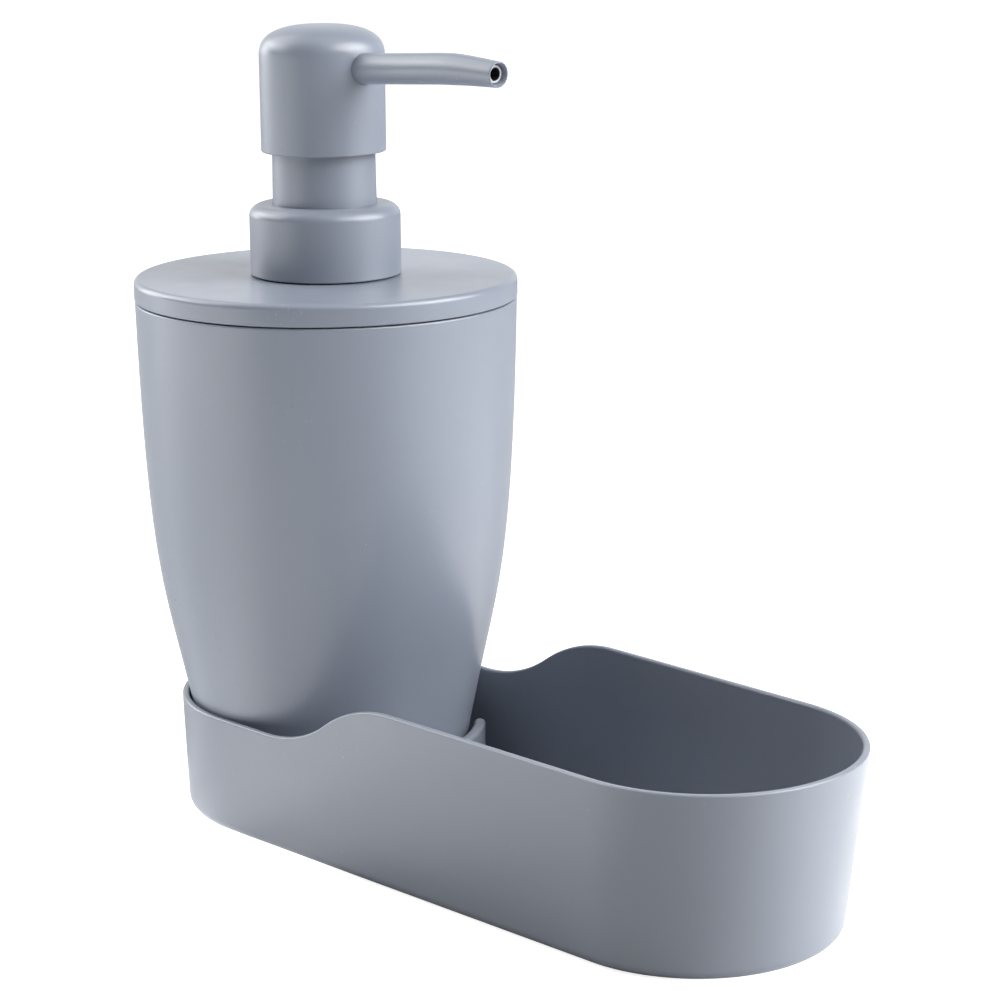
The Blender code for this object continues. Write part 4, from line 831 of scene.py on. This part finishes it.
# %% Work out the spout's path
SPOUT_RISE = 18.42
SPOUT_CLIMB = 3.25
SPOUT_DROP = -2.4
SPOUT_ROOT = 8.72
SPOUT_BEND = 43.5
BEND_ROUND_SHARE = 0.455
SPOUT_REACH = 56.6
SPOUT_ROOT_RADIUS = 3.42
SPOUT_TIP_RADIUS = 2.8

climb = direction(0.0, SPOUT_CLIMB)
drop = direction(0.0, SPOUT_DROP)
spout_base = Vector((0.0, 0.0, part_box("head_shell")[0].z / MM + SPOUT_RISE))
bend = spout_base + climb * SPOUT_BEND
root = bend + climb * ((SPOUT_ROOT - bend.x) / climb.x)
tip = bend + drop * ((SPOUT_REACH - bend.x) / drop.x)
bend_round = (tip - bend).length * BEND_ROUND_SHARE


def spout_at(reach):
    """The spout's centre, direction and outer radius at a distance from the axis."""
    start = bend - climb * bend_round
    end = bend + drop * bend_round
    share = min(max((reach - start.x) / (end.x - start.x), 0.0), 1.0)
    centre = start * (1 - share) ** 2 + bend * 2 * share * (1 - share) + end * share**2
    forward = (climb * (1 - share) + drop * share).normalized()
    centre = centre + forward * ((reach - centre.x) / forward.x)
    taper = min(max((reach - bend.x) / (tip.x - bend.x), 0.0), 1.0)
    return centre, forward, SPOUT_ROOT_RADIUS + (SPOUT_TIP_RADIUS - SPOUT_ROOT_RADIUS) * taper


print("spout tip, mm:", [round(value, 2) for value in tip])

# %% Build the spout
SPOUT_SIDES = 72
SPOUT_BORE = 2.15
MOUTH_RADIUS = 2.5
MOUTH_DEPTH = 1.1
MOUTH_ROUND = 0.06
TIP_ROUND = 0.12
TIP_EDGE = (0.03, 0.05)
# Distances from the axis at which the outside and the bore have a ring
OUTSIDE_RINGS = [SPOUT_ROOT, 20.0, 30.0] + [36.0 + step for step in range(15)] + [53.0, 56.1]
BORE_RINGS = [50.0, 46.0, 43.0, 40.0, 36.0, 25.0, SPOUT_ROOT]

stops = [(reach, spout_at(reach)[2]) for reach in OUTSIDE_RINGS]
stops += [
    (SPOUT_REACH - TIP_ROUND, SPOUT_TIP_RADIUS),
    (SPOUT_REACH - TIP_EDGE[0], SPOUT_TIP_RADIUS - TIP_EDGE[1]),
    (SPOUT_REACH, SPOUT_TIP_RADIUS - TIP_ROUND), (SPOUT_REACH, MOUTH_RADIUS + MOUTH_ROUND),
    (SPOUT_REACH - MOUTH_ROUND, MOUTH_RADIUS), (SPOUT_REACH - MOUTH_DEPTH, SPOUT_BORE)]
stops += [(reach, SPOUT_BORE) for reach in BORE_RINGS]
stations = []
for reach, radius in stops:
    centre, forward = spout_at(reach)[:2]
    stations.append(along(centre * MM, forward) @ Matrix.Diagonal((radius, radius, 1.0, 1.0)))
spout_shell = swept(circle(1.0, SPOUT_SIDES), stations, closed=True)
add_piece("spout_tube", spout_shell, "head", "head_plastic", ["spout"])

# %% [markdown]
# The nozzle's bore is painted dark as shade: its inner faces get a second, near-black material.

# %% Build the nozzle in the spout
NOZZLE_BORE = 1.42
NOZZLE_RADIUS = 2.0
NOZZLE_GAP = 1.08
NOZZLE_STEPS = 48
BORE_TOLERANCE = 0.01

nozzle_length = (tip - bend).length - MOUTH_DEPTH - NOZZLE_GAP
nozzle = turned([
    (NOZZLE_BORE, nozzle_length, 0.12), (NOZZLE_RADIUS, nozzle_length, 0.2),
    (NOZZLE_RADIUS, 0.0, 0.1), (NOZZLE_BORE, 0.0, 0.1)], steps=NOZZLE_STEPS)
# The bore's inner faces take the second material, the painted shade
for face in nozzle.faces:
    if face.calc_center_median().to_2d().length < (NOZZLE_BORE + BORE_TOLERANCE) * MM:
        face.material_index = 1
nozzle_foot = tip - drop * MOUTH_DEPTH - drop * nozzle_length
bmesh.ops.transform(nozzle, matrix=along(nozzle_foot * MM, drop), verts=nozzle.verts[:])
liner = add_piece("spout_nozzle", nozzle, "head", "natural_plastic", ["spout_liner"], "nozzle")
# The second slot holds the bore's painted shade
liner.data.materials.append(finishes["soap"])

# %% [markdown]
# ## A helper for pieces made of layers
# The caddy, its partition and its ribs are stacks of closed outlines. The first outline is drawn,
# and for each further one the open edge is extruded and every new vertex takes its own place.

# %% Helper for layered pieces


def layered(rings):
    """Join a list of rings, each with the same count of points, into one closed skin."""
    shell = bmesh.new()
    ring = [shell.verts.new(point) for point in rings[0]]
    shell.faces.new(ring)
    for points in rings[1:]:
        pairs = zip(ring, ring[1:] + ring[:1])
        edges = [shell.edges.get(pair) or shell.edges.new(pair) for pair in pairs]
        raised = bmesh.ops.extrude_edge_only(shell, edges=edges)["geom"]
        partner = {}
        for spot in [item for item in raised if isinstance(item, bmesh.types.BMVert)]:
            others = [edge.other_vert(spot) for edge in spot.link_edges]
            partner[next(other for other in others if other in ring)] = spot
        ring = [partner[spot] for spot in ring]
        for spot, point in zip(ring, points):
            spot.co = point
    shell.faces.new(ring)
    bmesh.ops.recalc_face_normals(shell, faces=shell.faces[:])
    return shell


def quarter_round(radius):
    """How far a rounding falls short at each step, upwards and across."""
    angles = quarter(ROUND_SEGMENTS)
    return [(radius * (1 - sin(angle)), radius * (1 - cos(angle))) for angle in angles]


print("steps in a quarter round:", len(quarter_round(1.0)) - 1)

# %% [markdown]
# ## The caddy
# The caddy is one open tray. In plan it has a round end about the cup, a round end about the
# sponge, and straight sides between, and its walls lean out so that it leaves its mould. The
# rim is low round the cup and steps up in an S made of two arcs. The skin goes up the outside,
# over the rounded rim and down the inside to the floor.

# %% Describe the caddy's plan and rim
LOW_RIM = 27.6
HIGH_RIM = 41.2
TRAY_WALL = 1.6
CUP_GAP = 0.35
NEAR_RADIUS = cup_radius_at(LOW_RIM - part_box("cup")[0].z / MM) + CUP_GAP + TRAY_WALL
FAR_RADIUS = 35.05
TRAY_LENGTH = 115.5
NEAR_DRAFT = tan(radians(2.1))
FAR_DRAFT = tan(radians(3.64))
FAR_LEAN = tan(radians(3.36))
TRAY_FLOOR = 2.4
BASE_ROUND = 2.4
RIM_ROUND = 0.6
FLOOR_ROUND = 1.6
STEP_CENTRE = 36.95
STEP_RUN = 20.75
# The stretches of the plan in order, each with its number of steps
STRETCHES = {"far": 64, "back": 72, "near": 64, "front": 72}


def plan_point(stretch, share, height, inset):
    """A point of the plan at a height, moved inwards by an inset."""
    near = NEAR_RADIUS + (height - LOW_RIM) * NEAR_DRAFT - inset
    far = FAR_RADIUS + (height - HIGH_RIM) * FAR_DRAFT - inset
    length = TRAY_LENGTH + (height - HIGH_RIM) * FAR_LEAN
    tangent = pi / 2 - asin((near - far) / length)
    if stretch == "far":
        return polar(far, tangent * (2 * share - 1), height, (length, 0.0))
    if stretch == "near":
        return polar(near, tangent + share * 2 * (pi - tangent), height)
    share = 1 - share if stretch == "back" else share
    radius = near + (far - near) * share
    across = radius * sin(tangent) * (1 if stretch == "back" else -1)
    return Vector((length * share + radius * cos(tangent), across, height))


def rim_height(x):
    """Height of the rim at a distance along the caddy: two equal arcs make the step."""
    half_rise = (HIGH_RIM - LOW_RIM) / 2
    arc_radius = (STEP_RUN**2 + half_rise**2) / (2 * half_rise)
    before_end = max(STEP_RUN - abs(x - STEP_CENTRE), 0.0)
    sag = arc_radius - sqrt(arc_radius**2 - before_end**2)
    return LOW_RIM + half_rise + copysign(half_rise - sag, x - STEP_CENTRE)


places = [(stretch, step / steps) for stretch, steps in STRETCHES.items() for step in range(steps)]
rims = [rim_height(plan_point(*place, HIGH_RIM, 0.0).x) for place in places]
print("places round the caddy:", len(places))

# %% Build the caddy's skin
levels = [(False, up, inset) for up, inset in quarter_round(BASE_ROUND)[::-1]]
levels += [(True, -down, inset) for down, inset in quarter_round(RIM_ROUND)]
levels += [(True, -down, TRAY_WALL - inset) for down, inset in quarter_round(RIM_ROUND)[::-1]]
levels += [
    (False, TRAY_FLOOR + up, TRAY_WALL + inset) for up, inset in quarter_round(FLOOR_ROUND)]
skin = layered([
    [plan_point(*place, height + (rim if on_rim else 0.0), inset) * MM
     for place, rim in zip(places, rims)]
    for on_rim, height, inset in levels])
add_piece("caddy_moulding", skin, "caddy", "caddy_plastic", ["caddy"])

# %% [markdown]
# ## The partition and the drain ribs
# Both are moulded in one with the tray, so they grow out of its floor with a small fillet. The
# partition is an arc that runs round the cup and keeps the sponge off it. The five ribs lift
# the sponge out of the water.

# %% Build the partition
PARTITION_HEIGHT = 19.0
HALF_WALL = 1.35
PARTITION_ANGLE = radians(44.0)
PARTITION_ROUND = 0.9
PARTITION_GAP = 0.9
CUP_STANDS_AT = 2.7
FOOT_FILLET = 0.8
SUNK = 0.2
ARC_STEPS = 40
CAP_STEPS = 10
partition_radius = cup_radius_at(PARTITION_HEIGHT - CUP_STANDS_AT)
partition_radius += PARTITION_GAP + HALF_WALL


def partition_ring(height, grow):
    """The partition's plan at a height: two arcs and two round ends."""
    half = HALF_WALL + grow
    points = []
    for side in (1, -1):
        reach = partition_radius + side * half
        for step in range(ARC_STEPS):
            angle = side * PARTITION_ANGLE * (2 * step / ARC_STEPS - 1)
            points.append(polar(reach, angle, height) * MM)
        end = side * PARTITION_ANGLE
        centre = (partition_radius * cos(end), partition_radius * sin(end))
        for step in range(CAP_STEPS):
            angle = end + pi * step / CAP_STEPS + (0.0 if side == 1 else pi)
            points.append(polar(half, angle, height, centre) * MM)
    return points


def rising(height, rounding):
    """Levels of a wall on the floor: a fillet at its foot and a round along its top."""
    foot = [(TRAY_FLOOR + inset, up) for up, inset in quarter_round(FOOT_FILLET)]
    top = [(height - down, -inset) for down, inset in quarter_round(rounding)]
    return [(TRAY_FLOOR - SUNK, FOOT_FILLET)] + foot + top


arc_wall = layered([partition_ring(*level) for level in rising(PARTITION_HEIGHT, PARTITION_ROUND)])
add_piece("caddy_partition", arc_wall, "caddy", "caddy_plastic")

# %% Build the drain ribs
RIB_START = 58.0
RIB_SPACING = 15.0
RIB_COUNT = 5
RIB_HALF_WIDTH = 1.2
RIB_HALF_LENGTH = 22.0
RIB_HEIGHT = 1.4
RIB_ROUND = 0.5
RIB_STEPS = 4 * CAP_STEPS


def rib_ring(centre, height, grow):
    """A rib's plan at a height: a bar with round ends."""
    half = RIB_HALF_WIDTH + grow
    points = []
    for step in range(RIB_STEPS):
        angle = tau * (step + 0.5) / RIB_STEPS
        shift = copysign(RIB_HALF_LENGTH - RIB_HALF_WIDTH, sin(angle))
        points.append(polar(half, angle, height, (centre, shift)) * MM)
    return points


rib_levels = rising(TRAY_FLOOR + RIB_HEIGHT, RIB_ROUND)
for index in range(RIB_COUNT):
    centre = RIB_START + index * RIB_SPACING
    rib = layered([rib_ring(centre, *level) for level in rib_levels])
    add_piece(f"caddy_rib_{index + 1}", rib, "caddy", "caddy_plastic")

# %% [markdown]
# ## Inside: how the pump works
# The head pushes the hollow stem down. The piston on it slides down with it in the housing, and
# the ball below is pressed on its seat, so the soap can only go up: past the piston's foot,
# through two ports in the stem, and out by the spout. The spring brings everything back, and on
# the way up the ball lifts and the housing fills again through the dip tube.
#
# The chaplet closes the housing's top and guides the stem. All of these are turned pieces, each
# drawn as a table of corners with their roundings.

# %% Build the housing and its plug
HOUSING = [
    (7.6, 67.91, 0.4), (13.2, 67.91, 0.2), (13.2, 66.81, 0.2), (8.9, 66.81, 0.5), (8.9, 20.46, 0.9),
    (4.9, 16.46, 0.9), (4.9, 0.0, 0.4), (2.95, 0.0, 0.3), (2.95, 11.0, 0.1), (1.5, 11.0, 0.2),
    (1.5, 12.4), (3.3, 14.2, 0.1), (3.3, 19.16, 0.2), (2.1, 19.16, 0.3), (2.1, 20.46, 0.3),
    (7.6, 20.46, 0.5)]
CHAPLET = [
    (3.85, 14.75, 0.3), (5.25, 14.75, 0.4), (5.25, 10.75, 0.4), (10.44, 10.75, 0.2),
    (10.44, 9.55, 0.2), (7.3, 9.55, 0.1), (7.3, 0.0, 0.3), (6.2, 0.0, 0.3), (6.2, 9.55, 0.4),
    (5.25, 9.55, 0.3), (5.25, 0.0, 0.3), (3.85, 0.0, 0.3)]

housing = add_turned("pump_cylinder", HOUSING, "pump", "natural_plastic", "pump_housing")
add_turned("stem_guide", CHAPLET, "pump", "natural_plastic", "chaplet")

# %% [markdown]
# The stem, its foot valve and the piston move with the head. The piston has a thin lip at each
# end that wipes the cylinder, and it can slip a little on the stem, which opens the ports.

# %% Build the stem, the valve and the piston
STEM_BORE = 2.0
VALVE_FOOT = 1.9
STEM = [
    (STEM_BORE, 51.37, 0.3), (3.6, 51.37, 0.4), (3.6, 10.2, 0.2), (4.9, 10.2, 0.3),
    (4.9, 8.7, 0.3), (3.6, 8.7, 0.2), (3.6, 0.0, 0.3), (STEM_BORE, 0.0, 0.3)]
VALVE = [
    (0.0, 5.4), (1.9, 5.4, 0.5), (1.9, 3.5, 0.1), (5.2, 3.5, 0.4), (5.2, VALVE_FOOT, 0.4),
    (3.6, VALVE_FOOT, 0.1), (3.6, 0.0, 0.6), (0.0, 0.0)]
PISTON = [
    (3.7, 7.9, 0.2), (4.85, 7.9, 0.3), (4.85, 5.0, 0.3), (6.2, 5.0, 0.3), (7.2, 8.6, 0.05),
    (7.5, 8.6, 0.05), (7.2, 7.0, 0.4), (7.2, 1.6, 0.4), (7.5, 0.0, 0.05), (7.2, 0.0, 0.05),
    (6.2, 3.6, 0.3), (4.85, 3.6, 0.3), (4.85, 0.7, 0.3), (4.15, 0.7, 0.1), (4.15, 5.1, 0.1),
    (3.7, 5.1, 0.1)]

stem = add_turned("pump_stem", STEM, "head", "natural_plastic", "stem")
add_turned("stem_plug", VALVE, "head", "natural_plastic", "stem_valve")
add_turned("pump_piston", PISTON, "piston", "piston_plastic", "piston")

# %% [markdown]
# ## The actuator core
# Inside the head a second moulding grips the stem and turns the flow into the spout. It starts
# as a turned block, then a boss is joined to its side, and the bores are cut through it.

# %% Build the core
WEB_FOOT = 11.0
CORE = [
    (0.0, 18.92), (6.6, 18.92, 0.9), (6.6, 12.4, 0.5), (12.72, 12.4, 0.3), (12.72, WEB_FOOT, 0.3),
    (5.6, WEB_FOOT, 0.6), (5.6, 0.0, 0.5), (3.7, 0.0, 0.4), (3.7, 12.1), (0.0, 12.1)]

core = add_turned("head_core", CORE, "head", "natural_plastic", "actuator_core")

# %% [markdown]
# ## Round cuts
# The head's hole for the spout, the housing's air vent, the stem's ports and the core's bores
# are all round bars that are cut out with a Boolean. Each result is turned into a plain mesh at
# once, so that nothing depends on the bar, which is thrown away.

# %% Cut the round holes
BAR_SIDES = 48
SPOUT_HOLE = SPOUT_ROOT_RADIUS + 0.06
VENT_RADIUS = 0.7
VENT_Z = 132.48
PORT_RADIUS = 0.8
PORT_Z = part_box("stem")[0].z / MM + 3.2
BOSS_RADIUS = 4.6
BOSS_SOCKET = SPOUT_ROOT_RADIUS + 0.1
FLOW_BORE = 2.05
RISER_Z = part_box("actuator_core")[0].z / MM + WEB_FOOT


def add_bar(piece, radius, start, end, operation="DIFFERENCE"):
    """Cut a round bar out of a piece, or join it on, between two points in mm."""
    start, end = Vector(start), Vector(end)
    stations = [along(point * MM, end - start) for point in (start, end)]
    bar = as_object("bar", swept(circle(radius, BAR_SIDES), stations))
    piece.modifiers.clear()
    step = piece.modifiers.new("Bar", "BOOLEAN")
    step.operation = operation
    step.solver = "EXACT"
    step.object = bar
    bpy.context.view_layer.update()
    shaped = piece.evaluated_get(bpy.context.evaluated_depsgraph_get())
    piece.data = bpy.data.meshes.new_from_object(shaped)
    shade(piece)
    bpy.data.objects.remove(bar, do_unlink=True)
    print(piece.name, "faces after", operation.lower(), len(piece.data.polygons))


add_bar(head, SPOUT_HOLE, spout_base + climb * 10.0, spout_base + climb * 18.0)
add_bar(housing, VENT_RADIUS, (0.0, 6.5, VENT_Z), (0.0, 10.0, VENT_Z))
add_bar(stem, PORT_RADIUS, (0.0, -5.0, PORT_Z), (0.0, 5.0, PORT_Z))
add_bar(core, BOSS_RADIUS, spout_base + climb * 5.6, spout_base + climb * 11.8, "UNION")
add_bar(core, BOSS_SOCKET, root - climb * 0.3, spout_base + climb * 13.0)
add_bar(core, FLOW_BORE, spout_base, root + climb * 0.5)
add_bar(core, STEM_BORE, (0.0, 0.0, RISER_Z), (0.0, 0.0, spout_base.z + 2.0))

# %% [markdown]
# ## The dip tube, the ball and the spring
# The tube is extruded polyethylene, cut on a slant so that it can't seal itself on the floor of
# the cup. A plane cuts the turned tube, and a bridge closes the cut between its two rims.

# %% Build the tube
TUBE_RADIUS = 2.85
TUBE_BORE = 2.05
TUBE_SLANT = -50.0
FINE_STEPS = 64

tube_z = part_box("dip_tube")[0].z
tube_length = height_of("dip_tube")
tube = turned([
    (TUBE_BORE, tube_length), (TUBE_RADIUS, tube_length), (TUBE_RADIUS, 0.0), (TUBE_BORE, 0.0)],
    tube_z, steps=FINE_STEPS)
slant = bmesh.ops.bisect_plane(
    tube, geom=tube.verts[:] + tube.edges[:] + tube.faces[:], clear_outer=True,
    plane_co=(-TUBE_RADIUS * MM, 0.0, tube_z), plane_no=direction(0.0, TUBE_SLANT))
cut_edges = [item for item in slant["geom_cut"] if isinstance(item, bmesh.types.BMEdge)]
bmesh.ops.bridge_loops(tube, edges=cut_edges)
bmesh.ops.recalc_face_normals(tube, faces=tube.faces[:])
add_piece("dip_tube_cut", tube, "pump", "tube_plastic", ["dip_tube"])

# %% [markdown]
# The ball is a half circle spun about the axis. The spring is one wire with nine curls: the
# first and the last lie closer, as a compression spring's do. In the real pump it shortens
# between its fixed lower end and the stem's foot when the head is pressed; here it keeps one
# length.

# %% Build the ball and the spring
BALL_RADIUS = 2.5
BALL_STEPS = 32
WIRE_RADIUS = 0.45
WIRE_SIDES = 16
COIL_RADIUS = 4.35
COIL_CURLS = 9
CURL_POINTS = 48
SPRING_LENGTH = 25.2
SPRING_GAP = 0.3
TURN_AHEAD = 0.01

half_turn = [pi * step / BALL_STEPS for step in range(BALL_STEPS + 1)]
half_ring = [(BALL_RADIUS * sin(a), BALL_RADIUS * (1 + cos(a))) for a in half_turn]
ball = turned(half_ring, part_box("inlet_ball")[0].z, steps=FINE_STEPS)
add_piece("valve_ball", ball, "inlet_ball", "spring_steel", ["inlet_ball"], "ball")

closed_pitch = 3 * WIRE_RADIUS
open_pitch = (SPRING_LENGTH - 2 * WIRE_RADIUS - 2 * closed_pitch) / (COIL_CURLS - 2)
spring_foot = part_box("stem_valve")[0].z / MM + VALVE_FOOT - SPRING_GAP - SPRING_LENGTH


def coil_point(turns):
    """The wire's centre after a number of turns."""
    closed = min(turns, 1.0) + max(turns - (COIL_CURLS - 1), 0.0)
    rise = closed_pitch * closed + open_pitch * min(max(turns - 1.0, 0.0), COIL_CURLS - 2)
    return polar(COIL_RADIUS, tau * turns, spring_foot + WIRE_RADIUS + rise)


wire = []
for step in range(COIL_CURLS * CURL_POINTS + 1):
    turns = step / CURL_POINTS
    ahead = coil_point(turns + TURN_AHEAD) - coil_point(turns - TURN_AHEAD)
    lean = pi / 2 - atan2(ahead.z, ahead.to_2d().length)
    facing = Matrix.Rotation(tau * turns, 4, "Z") @ Matrix.Rotation(lean, 4, "X").inverted()
    wire.append(Matrix.Translation(coil_point(turns) * MM) @ facing)
coil = swept(circle(WIRE_RADIUS, WIRE_SIDES), wire)
spring = add_piece(
    "return_spring_wire", coil, "return_spring", "spring_steel", ["spring"], "wire")
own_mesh(spring)
